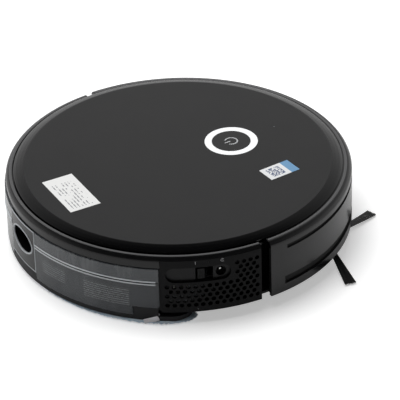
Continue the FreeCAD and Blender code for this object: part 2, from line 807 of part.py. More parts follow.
def bumper_shell():
    body = turned(rim_profile(bumper_radius, rim_height, rim_inner_radius, bumper_wall, bumper_bottom,
                              rim_height - bumper_flange_thickness))
    flange = ring(rim_inner_radius + 1, bumper_flange_inner, rim_height - 2.0, rim_height - 0.1)
    foot = ring(bumper_radius - bumper_wall + 0.5, bumper_foot_inner, floor_top + slide_clearance,
                floor_top + slide_clearance + bumper_flange_thickness)
    foot = foot.cut([cylinder(side_motor_radius + 6, x, side_brush_y, 0, high)
                     for x in (-side_brush_x, side_brush_x)])
    body = body.fuse([flange, foot])
    body = body.common(box(-far, far, -far, side_gap_front_y, 0, high))
    start = 180 + bumper_groove_start
    end = 360 - bumper_groove_start
    half = bumper_groove_width / 2
    deep = bumper_radius - bumper_groove_depth
    groove = sector(bumper_radius + 1, deep, start, end, bumper_groove_height - half,
                    bumper_groove_height + half)
    channel = turned([(bumper_radius + 1, bumper_channel_top), (bumper_radius, bumper_channel_top),
                      (bumper_radius - bumper_channel_depth, bumper_channel_top - 1.5),
                      (bumper_radius - bumper_channel_depth, bumper_channel_bottom),
                      (bumper_radius + 1, bumper_channel_bottom)])
    channel = channel.common(wedge(180 + bumper_channel_start, 360 - bumper_channel_start, 0, high))
    window = sector(bumper_radius + 1, bumper_radius - window_thickness - 0.1, 270 - window_half_angle,
                    270 + window_half_angle, window_bottom, window_top)
    return body.cut([groove, channel, window]).removeSplitter()


def bumper_window():
    return sector(bumper_radius, bumper_radius - window_thickness, 270 - window_half_angle + 0.05,
                  270 + window_half_angle - 0.05, window_bottom + 0.1, window_top - 0.1)


def bumper_springs():
    """Two bent leaf springs between the chassis wall and the bumper."""
    springs = []
    for x in (-spring_x, spring_x):
        wall_y = -math.sqrt(front_wall_radius ** 2 - (spring_x - spring_half_span) ** 2) - slide_clearance
        shell_y = -math.sqrt((bumper_radius - bumper_wall) ** 2 - x ** 2) + 0.6
        foot = spring_half_span
        sole = foot - spring_strip
        crest = spring_strip + 0.5
        points = [(x - foot, wall_y), (x - crest, shell_y), (x + crest, shell_y), (x + foot, wall_y),
                  (x + sole, wall_y), (x + 1, shell_y + 0.8), (x - 1, shell_y + 0.8), (x - sole, wall_y)]
        springs.append(prism(points, spring_bottom, spring_top))
    return Part.makeCompound(springs)


# ================= wheels =================

def wheel_arm():
    """Gear case that swings about the trunnions at its front end; robot's left side."""
    eye = cylinder_x(arm_eye_radius, arm_inner_x, arm_outer_x, pivot_y, pivot_z)
    case = cylinder_x(arm_case_radius, arm_inner_x, arm_outer_x, 0, axle_z)
    nose = cylinder_x(motor_pinion_teeth * drive_module / 2 + 5.0, arm_inner_x, arm_outer_x, motor_y, motor_z)
    link = prism_x([(pivot_y, pivot_z - arm_eye_radius), (-8, axle_z - 12), (-8, axle_z + 18),
                    (pivot_y, pivot_z + arm_eye_radius)], arm_inner_x, arm_outer_x)
    trunnion = cylinder_x(pivot_radius, arm_inner_x - 6.0, arm_outer_x + 4.0, pivot_y, pivot_z)
    solid = eye.fuse([case, nose, link, trunnion])
    gear_x0 = arm_inner_x + arm_wall
    gear_x1 = gear_x0 + gear_width + 1.2
    cavity = cylinder_x(gear_tip + 0.8, gear_x0, gear_x1, 0, axle_z)
    pinion_room = cylinder_x(motor_pinion_teeth * drive_module / 2 + 2.0, gear_x0, gear_x1, motor_y, motor_z)
    shaft_hole = cylinder_x(wheel_shaft_radius + turn_clearance, gear_x0, arm_outer_x + 1, 0, axle_z)
    motor_hole = cylinder_x(motor_shaft_radius + 0.3, arm_inner_x - 1, gear_x0 + 1, motor_y, motor_z)
    return solid.cut([cavity, pinion_room, shaft_hole, motor_hole]).removeSplitter()


def wheel_motor():
    can = cylinder_x(motor_radius, arm_inner_x - motor_length, arm_inner_x, motor_y, motor_z)
    tail = cylinder_x(4.0, arm_inner_x - motor_length - 3, arm_inner_x - motor_length, motor_y, motor_z)
    bore = cylinder_x(motor_shaft_radius + turn_clearance, arm_inner_x - 12, arm_inner_x + 1,
                      motor_y, motor_z)
    return can.fuse(tail).cut(bore).removeSplitter()


def wheel_hub():
    inner_face = wheel_centre_x - wheel_width / 2
    outer_face = wheel_centre_x + wheel_width / 2
    drum = cylinder_x(hub_radius, inner_face, outer_face, 0, axle_z)
    dish = cylinder_x(hub_radius - hub_dish_width, outer_face - 3, outer_face + 1, 0, axle_z)
    cap = cylinder_x(hub_cap_radius, outer_face - 4, outer_face - 0.5, 0, axle_z)
    shaft = cylinder_x(wheel_shaft_radius, arm_inner_x + arm_wall + 0.6, inner_face + 1, 0, axle_z)
    holes = []
    for i in range(hub_hole_count):
        dy, dz = polar(hub_hole_circle, 90 + 360 * i / hub_hole_count)
        holes.append(cylinder_x(hub_hole_radius, outer_face - 6, outer_face + 1, dy, axle_z + dz))
    return drum.cut([dish] + holes).fuse([cap, shaft]).removeSplitter()


def tyre():
    inner_face = wheel_centre_x - wheel_width / 2
    outer_face = wheel_centre_x + wheel_width / 2
    body = cylinder_x(wheel_radius, inner_face, outer_face, 0, axle_z)
    body = body.cut(cylinder_x(hub_radius, inner_face - 1, outer_face + 1, 0, axle_z))
    grooves = []
    for i in range(tread_count):
        slot = box(inner_face + 2, outer_face - 2, -1.5, 1.5, wheel_radius - tread_depth, wheel_radius + 2)
        slot.rotate(ORIGIN, X_AXIS, 360 * (i + 0.5) / tread_count)
        slot.translate(Vector(0, 0, axle_z))
        grooves.append(slot)
    return body.cut(grooves)


def wheel_gear():
    x0 = arm_inner_x + arm_wall + 0.6
    return involute_gear(drive_module, wheel_gear_teeth, x0, x0 + gear_width, 0, axle_z, gear_line_angle,
                         wheel_shaft_radius)


def motor_pinion():
    x0 = arm_inner_x + arm_wall + 0.6
    phase = mesh_phase(gear_line_angle, wheel_gear_teeth, motor_pinion_teeth, gear_line_angle)
    gear = involute_gear(drive_module, motor_pinion_teeth, x0, x0 + gear_width, motor_y, motor_z, phase,
                         motor_shaft_radius)
    shaft = cylinder_x(motor_shaft_radius, arm_inner_x - 10, x0 + gear_width, motor_y, motor_z)
    return gear.fuse(shaft).removeSplitter()


def caster_fork():
    plate = cylinder(caster_plate_radius, 0, caster_y, caster_plate_bottom,
                     caster_plate_bottom + caster_plate_thickness)
    stem = cylinder(caster_stem_radius, 0, caster_y, caster_plate_bottom, caster_stem_top)
    axle_y = caster_y + caster_trail
    inner = caster_wheel_width / 2 + caster_cheek_gap
    cheeks = []
    for x in (-inner - caster_cheek, inner):
        leg = box(x, x + caster_cheek, axle_y - caster_foot_radius, axle_y + caster_foot_radius,
                  caster_wheel_radius, caster_plate_bottom + 1)
        foot = cylinder_x(caster_foot_radius, x, x + caster_cheek, axle_y, caster_wheel_radius)
        cheeks += [leg, foot]
    fork = plate.fuse([stem] + cheeks)
    hole = cylinder_x(caster_axle_radius + turn_clearance, -20, 20, axle_y, caster_wheel_radius)
    room = cylinder_x(caster_wheel_radius + 0.8, -inner, inner, axle_y, caster_wheel_radius)
    return fork.cut([hole, room]).removeSplitter()


def caster_wheel():
    axle_y = caster_y + caster_trail
    half = caster_wheel_width / 2
    wheel = cylinder_x(caster_wheel_radius, -half, half, axle_y, caster_wheel_radius)
    wheel = wheel.makeFillet(1.5, [e for e in wheel.Edges if e.Closed])
    reach = half + caster_cheek_gap + caster_cheek
    axle = cylinder_x(caster_axle_radius, -reach, reach,
                      axle_y, caster_wheel_radius)
    return wheel.fuse(axle).removeSplitter()


# ================= side brushes =================

def side_brush():
    """Hub with three bristle arms, robot's right side."""
    x, y = -side_brush_x, side_brush_y
    end = side_brush_reach
    root = side_brush_root_width / 2
    tip = side_brush_tip_width / 2
    hub = cylinder(side_brush_hub_radius, x, y, side_brush_hub_bottom, underside_height - side_brush_hub_gap)
    shaft = cylinder(side_brush_shaft_radius, x, y, side_brush_hub_bottom + 3,
                     floor_top + slide_clearance + side_brush_shaft_reach)
    plan = [(tuft_start, -root), (tuft_bend, -root), (end, -tip),
            (end, tip), (tuft_bend, root), (tuft_start, root)]
    side = [(tuft_start, tuft_root[1]), (tuft_start, tuft_root[0]), (tuft_bend, tuft_knee[0]),
            (end, tuft_tip[0]), (end, tuft_tip[1]), (tuft_bend, tuft_knee[1])]
    arms = []
    for angle in side_brush_angles:
        flat = prism([(x + along, y + across) for along, across in plan], 0, underside_height)
        slope = face_of([(x + along, y - tuft_bend, z) for along, z in side])
        slope = slope.extrude(Vector(0, 2 * tuft_bend, 0))
        arms.append(turned_to(flat.common(slope), angle, Vector(x, y, 0)))
    return hub.fuse([shaft] + arms).removeSplitter()


def side_brush_motors():
    bottom = floor_top
    can = cylinder(side_motor_radius, side_brush_x, side_brush_y, bottom,
                   bottom + side_motor_height - side_motor_head_height)
    head = cylinder(side_motor_head_radius, side_brush_x, side_brush_y, bottom, bottom + side_motor_height)
    bore = cylinder(side_brush_shaft_radius + turn_clearance, side_brush_x, side_brush_y, bottom - 1,
                    bottom + side_brush_shaft_reach + 1)
    motor = can.fuse(head).cut(bore).removeSplitter()
    return Part.makeCompound([motor, mirrored(motor)])


# ================= main brush =================

def brush_roller():
    core = cylinder_x(brush_core_radius, -brush_half_length, brush_half_length, brush_y, brush_z)
    fins = []
    for i in range(brush_fins):
        fin = box(-brush_half_length, brush_half_length, -brush_fin_width / 2, brush_fin_width / 2,
                  brush_core_radius - 2, brush_radius)
        fin.rotate(ORIGIN, X_AXIS, 360 * i / brush_fins)
        fin.translate(Vector(0, brush_y, brush_z))
        fins.append(fin)
    shaft = cylinder_x(brush_shaft_radius, -brush_half_length - chamber_clearance - 1.4,
                       brush_gear_x + brush_gear_width, brush_y, brush_z)
    roller = core.fuse(fins)
    for x in (-brush_groove_x, brush_groove_x):
        groove = cylinder_x(brush_radius + 2, x - brush_groove_width / 2, x + brush_groove_width / 2,
                            brush_y, brush_z)
        inner = cylinder_x(brush_groove_radius, x - brush_groove_width, x + brush_groove_width,
                           brush_y, brush_z)
        roller = roller.cut(groove.cut(inner))
    return roller.fuse(shaft).removeSplitter()


roller_phase = roller_idler_angle
idler_phase = mesh_phase(roller_phase, roller_gear_teeth, idler_teeth, roller_idler_angle)
brush_pinion_phase = mesh_phase(idler_phase, idler_teeth, brush_pinion_teeth, idler_pinion_angle)


def roller_gear():
    return involute_gear(brush_module, roller_gear_teeth, brush_gear_x, brush_gear_x + brush_gear_width,
                         brush_y, brush_z, roller_phase, brush_shaft_radius)


def brush_idler():
    return involute_gear(brush_module, idler_teeth, brush_gear_x, brush_gear_x + brush_gear_width,
                         idler_y, idler_z, idler_phase, 2.0 + turn_clearance)


def brush_pinion():
    gear = involute_gear(brush_module, brush_pinion_teeth, brush_gear_x, brush_gear_x + brush_gear_width,
                         pinion_y, pinion_z, brush_pinion_phase, motor_shaft_radius)
    shaft = cylinder_x(motor_shaft_radius, case_inner_x - 10, brush_gear_x + brush_gear_width,
                       pinion_y, pinion_z)
    return gear.fuse(shaft).removeSplitter()


def brush_gear_case():
    idler_tip = brush_module * (idler_teeth / 2 + 0.9) + 0.7
    roller_tip = brush_module * (roller_gear_teeth / 2 + 0.9) + 0.7
    pinion_tip = brush_module * (brush_pinion_teeth / 2 + 0.9) + 0.7
    x0, x1 = case_inner_x, case_outer_x
    gears = ((idler_tip, idler_y, idler_z), (roller_tip, brush_y, brush_z), (pinion_tip, pinion_y, pinion_z))
    outer = [cylinder_x(tip + case_wall, x0, x1, y, z) for tip, y, z in gears]
    inner = [cylinder_x(tip, x0 + case_wall, x1 - case_wall, y, z) for tip, y, z in gears]
    foot = box(x0, x1, brush_y - 9, brush_y + 9, floor_top, brush_z)
    foot = foot.cut(box(x0 + case_wall, x1 - case_wall, brush_y - 8, brush_y + 8, 0, brush_z + 1))
    case = outer[0].fuse(outer[1:] + [foot]).cut(inner)
    case = case.cut([cylinder_x(brush_shaft_radius + 0.3, x0 - 1, x0 + 3, brush_y, brush_z),
                     cylinder_x(motor_shaft_radius + 0.3, x0 - 1, x0 + 3, pinion_y, pinion_z)])
    pin = cylinder_x(2.0, x0 + 0.5, x1 - 0.5, idler_y, idler_z)
    return case.common(box(x0 - 1, x1 + 1, 0, 100, floor_top, high)).fuse(pin).removeSplitter()


def brush_motor():
    can = cylinder_x(brush_motor_radius, brush_motor_end - brush_motor_length, brush_motor_end,
                     pinion_y, pinion_z)
    bore = cylinder_x(motor_shaft_radius + turn_clearance, brush_motor_end - 12, brush_motor_end + 1,
                      pinion_y, pinion_z)
    tail = cylinder_x(4, brush_motor_end - brush_motor_length - 3, brush_motor_end - brush_motor_length,
                      pinion_y, pinion_z)
    return can.fuse(tail).cut(bore).removeSplitter()


def brush_guard():
    """Frame round the brush mouth, with bars that run in the roller's grooves."""
    top = underside_height - 0.1
    bottom = top - guard_thickness
    outer_x = chamber_half + guard_side_margin
    frame_shape = box(-outer_x, outer_x, brush_y - chamber_radius - guard_front_margin,
                      brush_y + chamber_radius + guard_rear_margin, bottom, top)
    window = box(-chamber_half + 1, chamber_half - 1, brush_y - chamber_radius + 1.5,
                 brush_y + chamber_radius - 1.5, 0, 50)
    frame_shape = frame_shape.cut(window)
    bars = []
    for x in (-brush_groove_x, brush_groove_x):
        reach = chamber_radius
        low = brush_z - brush_groove_radius - 3.6
        outline = [(brush_y - reach, bottom), (brush_y - reach + 4, bottom), (brush_y - reach + 8, low + 1.6),
                   (brush_y + reach - 8, low + 1.6), (brush_y + reach - 4, bottom), (brush_y + reach, bottom),
                   (brush_y + reach, top), (brush_y + reach - 2.4, top), (brush_y + reach - 7, low + 3.2),
                   (brush_y - reach + 7, low + 3.2), (brush_y - reach + 2.4, top), (brush_y - reach, top)]
        bars.append(prism_x(outline, x - 1.0, x + 1.0))
    return frame_shape.fuse(bars).removeSplitter()


def guard_latches():
    """Two spring clips at the guard's front edge; they slide forward to free it."""
    front = brush_y - chamber_radius - guard_front_margin - slide_clearance
    clips = []
    for x in (-latch_x, latch_x):
        pad = box(x - latch_half_width, x + latch_half_width, front - latch_depth, front,
                  underside_height - guard_thickness, underside_height - 0.25)
        grips = [box(x - latch_half_width + 2, x + latch_half_width - 2, front - 4.6 + 1.5 * i,
                     front - 4.0 + 1.5 * i, 0, underside_height - 1.7) for i in range(3)]
        clips.append(pad.cut(grips))
    return Part.makeCompound(clips)


# ================= fan =================

def fan_housing():
    shell = cylinder(fan_case_radius, fan_x, fan_y, fan_case_bottom, fan_case_top)
    room = cylinder(impeller_radius + 2.5, fan_x, fan_y, fan_case_bottom + 13.0, fan_case_top - fan_wall)
    motor_room = cylinder(fan_motor_radius + 0.1, fan_x, fan_y, fan_case_bottom - 1, fan_case_bottom + 13.5)
    inlet = cylinder(fan_inlet_radius, fan_x, fan_y, fan_case_top - 5, fan_case_top + 1)
    outlet = box(-40, -10, -9, 9, fan_case_bottom + 14, fan_case_top - fan_wall)
    outlet.translate(Vector(fan_x, fan_y, 0))
    outlet = turned_to(outlet, fan_outlet_angle, Vector(fan_x, fan_y, 0))
    return shell.cut([room, motor_room, inlet, outlet]).removeSplitter()


def fan_motor():
    can = cylinder(fan_motor_radius, fan_x, fan_y, floor_top, fan_case_bottom + 12.0)
    bore = cylinder(motor_shaft_radius + turn_clearance, fan_x, fan_y,
                    fan_case_bottom + 2, fan_case_bottom + 13)
    return can.cut(bore)


def fan_impeller():
    bottom = fan_case_bottom + fan_plate_height
    plate = cylinder(impeller_radius, fan_x, fan_y, bottom, bottom + 1.4)
    hub = cylinder(5.0, fan_x, fan_y, bottom, bottom + 9.0)
    shaft = cylinder(motor_shaft_radius, fan_x, fan_y, fan_case_bottom + 3, bottom + 1)
    blades = []
    for i in range(impeller_blades):
        blade = box(blade_start, impeller_radius - 0.5, -0.6, 0.6, bottom + 1.0, bottom + blade_top)
        blade.rotate(Vector(blade_start, 0, 0), Z_AXIS, blade_sweep)
        blade.rotate(ORIGIN, Z_AXIS, 360 * i / impeller_blades)
        blade.translate(Vector(fan_x, fan_y, 0))
        blades.append(blade)
    blades = [b.common(cylinder(impeller_radius, fan_x, fan_y, 0, high)) for b in blades]
    return plate.fuse([hub, shaft] + blades).removeSplitter()


def suction_duct():
    x1 = -bay_side - bin_wall
    outer = fuse(cylinder(fan_inlet_radius + 3, fan_x, fan_y, fan_case_top, duct_top),
                 box(fan_x, x1, air_way_front - duct_wall, air_way_rear + duct_wall,
                     air_way_bottom - duct_wall, duct_top))
    inner = fuse(cylinder(fan_inlet_radius + 1, fan_x, fan_y, fan_case_top - 1, duct_top - fan_wall),
                 box(fan_x, x1 + 1, air_way_front, air_way_rear, air_way_bottom, duct_top - fan_wall))
    return outer.cut(inner).removeSplitter()


def speaker():
    x, y = -fan_x, fan_y - 2
    frame = cylinder(speaker_radius, x, y, floor_top, floor_top + speaker_height)
    recess = cylinder(speaker_cone_radius, x, y, floor_top + 8, floor_top + speaker_height + 2)
    dome = cylinder(speaker_dome_radius, x, y, floor_top + 2, floor_top + 10)
    return frame.cut(recess).fuse(dome).removeSplitter()


# ================= battery and small underside pieces =================

def battery_pack():
    """Four round cells side by side in a shrink-wrapped pack."""
    width = 2 * battery_half_width
    cells = []
    cell_radius = width / 8 + 0.12       # neighbouring cells press into the wrap
    for i in range(4):
        x = -battery_half_width + width * (i + 0.5) / 4
        cells.append(Part.makeCylinder(cell_radius, battery_rear_y - battery_front_y,
                                       Vector(x, battery_front_y, battery_bottom + cell_radius), Y_AXIS))
    wrap = box(-battery_half_width + 6, battery_half_width - 6, battery_front_y + 1, battery_rear_y - 1,
               battery_bottom + 1.5, battery_bottom + width / 4 - 1.5)
    return fuse(wrap, *cells)


def battery_cover():
    gap = seat_clearance
    return box(-cover_half_width + gap, cover_half_width - gap, cover_front_y + gap, cover_rear_y - gap,
               underside_height, floor_top)


def cliff_sensors():
    gap = 0.2
    return Part.makeCompound([box(x - half_x + gap, x + half_x - gap, y - half_y + gap, y + half_y - gap,
                                  underside_height, floor_top + 2)
                              for x, y, half_x, half_y in cliff_places])


def charging_contacts():
    pads = []
    for x in contact_places:
        pads.append(box(x - 10.8, x + 10.8, contact_y - 3.8, contact_y + 3.8,
                        underside_height - 0.4, floor_top + 1))
    return Part.makeCompound(pads)


def screws():
    made = []
    for x, y in screw_places:
        head = cylinder(screw_head_radius, x, y, underside_height, underside_height + screw_head_height)
        shank = cylinder(screw_shank_radius, x, y, underside_height, underside_height + screw_length)
        cross = [box(x - 1.6, x + 1.6, y - 0.4, y + 0.4, 0, underside_height + 0.7),
                 box(x - 0.4, x + 0.4, y - 1.6, y + 1.6, 0, underside_height + 0.7)]
        made.append(head.fuse(shank).cut(cross).removeSplitter())
    return Part.makeCompound(made)


# ================= bin, tank and mop =================

def tank_plan(radius, inset, z0, z1):
    """Crescent between the bay's step and the robot's round back."""
    block = box(-module_half_width + inset, module_half_width - inset, tank_front_y + inset, far, z0, z1)
    return block.common(cylinder(radius - inset, 0, 0, z0, z1))


def handle_zone(grow, radius, z0, z1):
    """Part of the round back that the handle takes up, grown by a clearance."""
    reach = handle_half_angle + math.degrees(grow / bumper_radius)
    block = tank_plan(radius, 0, z0, z1)
    block = block.common(wedge(handle_angle - reach, handle_angle + reach, 0, high))
    return block.common(box(-far, far, bumper_radius - handle_depth - grow, far, 0, high))


def handle_block(grow):
    return handle_zone(grow, bumper_radius + grow * 5, handle_bottom - grow, module_top + grow)


def water_tank():
    """Translucent lower tank, hollow, with a stepped end over each clip block."""
    body = tank_plan(bumper_radius, 0, tank_bottom, seam_bottom)
    step = [box(tank_step_x, far, 0, far, 0, tank_step_z)]
    steps = step + [mirrored(step[0])]
    body = body.cut(steps)
    hollow = tank_plan(bumper_radius, tank_wall, tank_bottom + tank_wall, seam_bottom - tank_wall)
    room = box(tank_step_x - tank_wall, far, 0, far, 0, tank_step_z + tank_wall)
    hollow = hollow.cut([room, mirrored(room)])
    grown = handle_zone(seat_clearance, bumper_radius + 1, 0, module_top)
    wall_round_handle = handle_zone(seat_clearance + tank_wall, bumper_radius + 1, 0, module_top)
    return body.cut(grown).cut(hollow.cut(wall_round_handle)).removeSplitter()


def tank_cover():
    """Translucent upper shell over the bin's rear, with a bead along its lower edge."""
    shell = tank_plan(bumper_radius, 0, seam_bottom, module_top)
    groove = ring(bumper_radius + 1, bumper_radius - 1.2, seam_bottom + 1.1, seam_top - 1.1)
    hollow = tank_plan(bumper_radius, tank_wall, seam_bottom + tank_wall, module_top - tank_wall)
    grown = handle_block(seat_clearance)
    around = handle_block(seat_clearance + tank_wall)
    return shell.cut([groove, grown]).cut(hollow.cut(around)).removeSplitter()


def module_handle():
    """Dark panel with an oval finger slot that holds the release button."""
    block = handle_block(0).common(cylinder(bumper_radius, 0, 0, 0, high))
    mouth_y = bumper_radius - handle_slot_depth
    oval = Part.Ellipse(Vector(0, mouth_y, handle_slot_z), handle_slot_length / 2, handle_slot_height / 2)
    oval.Axis = Y_AXIS
    slot = Part.Face(Part.Wire(oval.toShape())).extrude(Vector(0, 60, 0))
    room = box(-release_half_width, release_half_width, mouth_y - release_thickness, mouth_y + 1,
               handle_slot_z - release_half_height, handle_slot_z + release_half_height)
    return block.cut(turned_to(slot.fuse(room), handle_angle - 90)).removeSplitter()


def release_button():
    mouth_y = bumper_radius - handle_slot_depth
    gap = slide_clearance
    body = box(-release_half_width + gap, release_half_width - gap,
               mouth_y - release_thickness + gap + release_travel, mouth_y + release_stand,
               handle_slot_z - release_half_height + gap, handle_slot_z + release_half_height - gap)
    grips = []
    for i in range(4):
        z = handle_slot_z - 4.4 + 3 * i
        grips.append(box(-9, 9, mouth_y + release_stand - 0.7, mouth_y + release_stand + 1, z, z + 0.8))
    return turned_to(body.cut(grips), handle_angle - 90)


def dust_bin():
    """Open-topped box that goes into the bay; dust comes in through its front."""
    outer = box(-bin_half_width, bin_half_width, bin_front_y, tank_front_y, bin_bottom, module_top - 2.0)
    inner = box(-bin_half_width + bin_wall, bin_half_width - bin_wall, bin_front_y + bin_wall,
                tank_front_y - bin_wall, bin_bottom + bin_wall, module_top)
    mouth = box(-inlet_half_width, inlet_half_width, bin_front_y - 1, bin_front_y + bin_wall + 1,
                inlet_bottom, inlet_top)
    air_out = box(-bin_half_width - 1, -bin_half_width + bin_wall + 1, air_way_front, air_way_rear,
                    air_way_bottom, air_way_top)
    shelf = box(-bin_half_width + bin_wall, -bin_half_width + filter_shelf_width, bin_front_y + bin_wall,
                tank_front_y - bin_wall, filter_shelf_height, filter_shelf_height + filter_shelf_thickness)
    return outer.cut([inner, mouth, air_out]).fuse(shelf).removeSplitter()


def bin_lid():
    plate = box(-bin_half_width, bin_half_width, bin_front_y, tank_front_y, module_top - 2.0, module_top)
    outer = bin_wall + slide_clearance
    inner = outer + lid_lip_width
    lip_out = box(-bin_half_width + outer, bin_half_width - outer, bin_front_y + outer,
                  tank_front_y - outer, module_top - 4.0, module_top - 2.0)
    lip_in = box(-bin_half_width + inner, bin_half_width - inner, bin_front_y + inner,
                 tank_front_y - inner, 0, module_top - 2.0)
    return plate.fuse(lip_out.cut(lip_in)).removeSplitter()


def bin_filter():
    """Pleated filter that stands in front of the air way to the fan."""
    x0 = -bin_half_width + bin_wall + 1.0
    bottom = filter_shelf_height + filter_shelf_thickness
    block = box(x0, x0 + filter_depth, bin_front_y + bin_wall + 0.5, tank_front_y - bin_wall - 0.5,
                bottom, module_top - 4.5)
    pleats = []
    span = tank_front_y - bin_front_y - 2 * bin_wall - 5
    for i in range(filter_pleats):
        y = bin_front_y + bin_wall + 3 + span * (i + 0.5) / filter_pleats
        pleats.append(box(x0 + 2, x0 + filter_depth + 1, y - pleat_width / 2, y + pleat_width / 2,
                          bottom + 1.5, module_top - 6))
    return block.cut(pleats)


def rounded_plan(half_width, front, radius, z0, z1):
    """D-shaped plan with rounded corners and a round back."""
    block = box(-half_width, half_width, front, far, z0, z1)
    plan = block.common(cylinder(radius, 0, 0, z0, z1))
    upright = [e for e in plan.Edges if e.BoundBox.ZLength > 0.99 * (z1 - z0)
               and abs(e.BoundBox.XMax) + abs(e.BoundBox.XMin) > 1.9 * half_width]
    fronts = [e for e in upright if e.BoundBox.YMax < front + 1]
    plan = plan.makeFillet(mop_front_corner, fronts)
    upright = [e for e in plan.Edges if e.BoundBox.ZLength > 0.99 * (z1 - z0)
               and abs(e.BoundBox.XMax) + abs(e.BoundBox.XMin) > 1.9 * half_width]
    rears = [e for e in upright if e.BoundBox.YMin > front + mop_front_corner + 1]
    return plan.makeFillet(mop_rear_corner, rears)


def mop_plate():
    """Stiff plate under the tank that carries the cloth, with a clip block at each end."""
    plate = rounded_plan(mop_half_width, mop_front_y, bumper_radius - 0.8,
                         mop_plate_bottom, mop_plate_top)
    block = box(tank_step_x + clip_gap, module_half_width - clip_gap, tank_front_y + 1, far,
                mop_plate_top - 1, tank_step_z - 0.5)
    blocks = both_sides(lambda: block.common(cylinder(bumper_radius - clip_gap, 0, 0, 0, high)))
    tab = handle_zone(-seat_clearance, bumper_radius - clip_gap, mop_plate_top - 1,
                      handle_bottom - slide_clearance)
    return plate.fuse(blocks + [tab]).removeSplitter()


def mop_cloth():
    cloth = rounded_plan(mop_half_width - mop_cloth_inset, mop_front_y - 1.5, mop_cloth_radius,
                         0.0, mop_cloth_top)
    cloth.translate(Vector(mop_cloth_shift[0], mop_cloth_shift[1], 0))
    return cloth


pieces = {
    "base_tray": base_tray,
    "upper_housing": upper_housing,
    "top_cover": top_cover,
    "light_ring": light_ring,
    "start_button": start_button,
    "main_board": main_board,
    "product_label": lambda: label(label_length, label_width, label_centre, label_turn),
    "code_label": lambda: label(code_width, code_length, code_centre, code_turn),
    "side_panel_right": lambda: side_panel(True),
    "side_panel_left": lambda: side_panel(False),
    "control_tray": control_tray,
    "power_switch": power_switch,
    "dc_jack": dc_jack,
    "bumper_shell": bumper_shell,
    "bumper_window": bumper_window,
    "bumper_springs": bumper_springs,
    "wheel_arm_left": wheel_arm,
    "wheel_motor_left": wheel_motor,
    "wheel_hub_left": wheel_hub,
    "tyre_left": tyre,
    "wheel_gear_left": wheel_gear,
    "motor_pinion_left": motor_pinion,
    "wheel_arm_right": lambda: mirrored(wheel_arm()),
    "wheel_motor_right": lambda: mirrored(wheel_motor()),
    "wheel_hub_right": lambda: mirrored(wheel_hub()),
    "tyre_right": lambda: mirrored(tyre()),
    "wheel_gear_right": lambda: mirrored(wheel_gear()),
    "motor_pinion_right": lambda: mirrored(motor_pinion()),
    "caster_fork": caster_fork,
    "caster_wheel": caster_wheel,
    "side_brush_right": side_brush,
    "side_brush_left": lambda: mirrored(side_brush()),
    "side_brush_motors": side_brush_motors,
    "brush_roller": brush_roller,
    "roller_gear": roller_gear,
    "brush_idler": brush_idler,
    "brush_pinion": brush_pinion,
    "brush_gear_case": brush_gear_case,
    "brush_motor": brush_motor,
    "brush_guard": brush_guard,
    "guard_latches": guard_latches,
    "fan_housing": fan_housing,
    "fan_motor": fan_motor,
    "fan_impeller": fan_impeller,
    "suction_duct": suction_duct,
    "speaker": speaker,
    "battery_pack": battery_pack,
    "battery_cover": battery_cover,
    "cliff_sensors": cliff_sensors,
    "charging_contacts": charging_contacts,
    "screws": screws,
    "water_tank": water_tank,
    "tank_cover": tank_cover,
    "module_handle": module_handle,
    "release_button": release_button,
    "dust_bin": dust_bin,
    "bin_lid": bin_lid,
    "bin_filter": bin_filter,
    "mop_plate": mop_plate,
    "mop_cloth": mop_cloth,
}

for name, make in pieces.items():
    save(name, make())
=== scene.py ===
import json
import math
import random

import bmesh
import bpy
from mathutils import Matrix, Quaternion, Vector


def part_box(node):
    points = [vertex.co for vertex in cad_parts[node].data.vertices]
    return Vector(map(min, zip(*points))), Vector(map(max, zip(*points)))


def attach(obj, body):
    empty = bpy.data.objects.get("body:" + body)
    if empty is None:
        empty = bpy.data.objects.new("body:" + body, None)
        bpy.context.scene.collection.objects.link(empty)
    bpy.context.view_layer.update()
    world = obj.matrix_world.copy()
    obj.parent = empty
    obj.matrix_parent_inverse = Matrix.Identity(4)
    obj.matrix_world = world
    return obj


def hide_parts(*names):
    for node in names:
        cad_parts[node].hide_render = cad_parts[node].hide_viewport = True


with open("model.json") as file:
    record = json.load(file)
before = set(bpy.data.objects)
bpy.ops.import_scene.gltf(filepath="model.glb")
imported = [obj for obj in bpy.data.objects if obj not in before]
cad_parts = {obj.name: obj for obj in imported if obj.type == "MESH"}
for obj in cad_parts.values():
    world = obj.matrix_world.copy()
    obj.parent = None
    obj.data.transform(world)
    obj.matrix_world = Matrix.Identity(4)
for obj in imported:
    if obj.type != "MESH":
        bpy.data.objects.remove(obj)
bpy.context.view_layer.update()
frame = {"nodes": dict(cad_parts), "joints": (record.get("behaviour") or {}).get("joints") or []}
MM = 0.001
nodes = frame["nodes"]

# places taken from the frame
joints = {joint["name"]: joint for joint in frame["joints"]}
ring_low, ring_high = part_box("light_ring")
handle_low, handle_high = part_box("module_handle")
cloth_low, cloth_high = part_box("mop_cloth")
roller_low, roller_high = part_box("brush_roller")
cover_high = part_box("top_cover")[1]
shell_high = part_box("bumper_shell")[1]
panel_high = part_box("side_panel_right")[1]
tank_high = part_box("water_tank")[1]
shell_radius = shell_high.x
panel_radius = 171.2 * MM
rim_top = shell_high.z
button_centre = (ring_low + ring_high) / 2
plateau_radius = 152.4 * MM
press = Vector(joints["release_press"]["axis"])
handle_angle = math.atan2(-press.y, -press.x)
seam_low = tank_high.z
seam_width = 3.4 * MM


# ================= shader node helpers =================

def make_group(name, inputs, outputs):
    """Empty node group with named float, colour or vector sockets."""
    group = bpy.data.node_groups.new(name, "ShaderNodeTree")
    for label, kind, value in inputs:
        socket = group.interface.new_socket(label, in_out="INPUT", socket_type=kind)
        socket.default_value = value
    for label, kind in outputs:
        group.interface.new_socket(label, in_out="OUTPUT", socket_type=kind)
    return group, group.nodes.new("NodeGroupInput"), group.nodes.new("NodeGroupOutput")


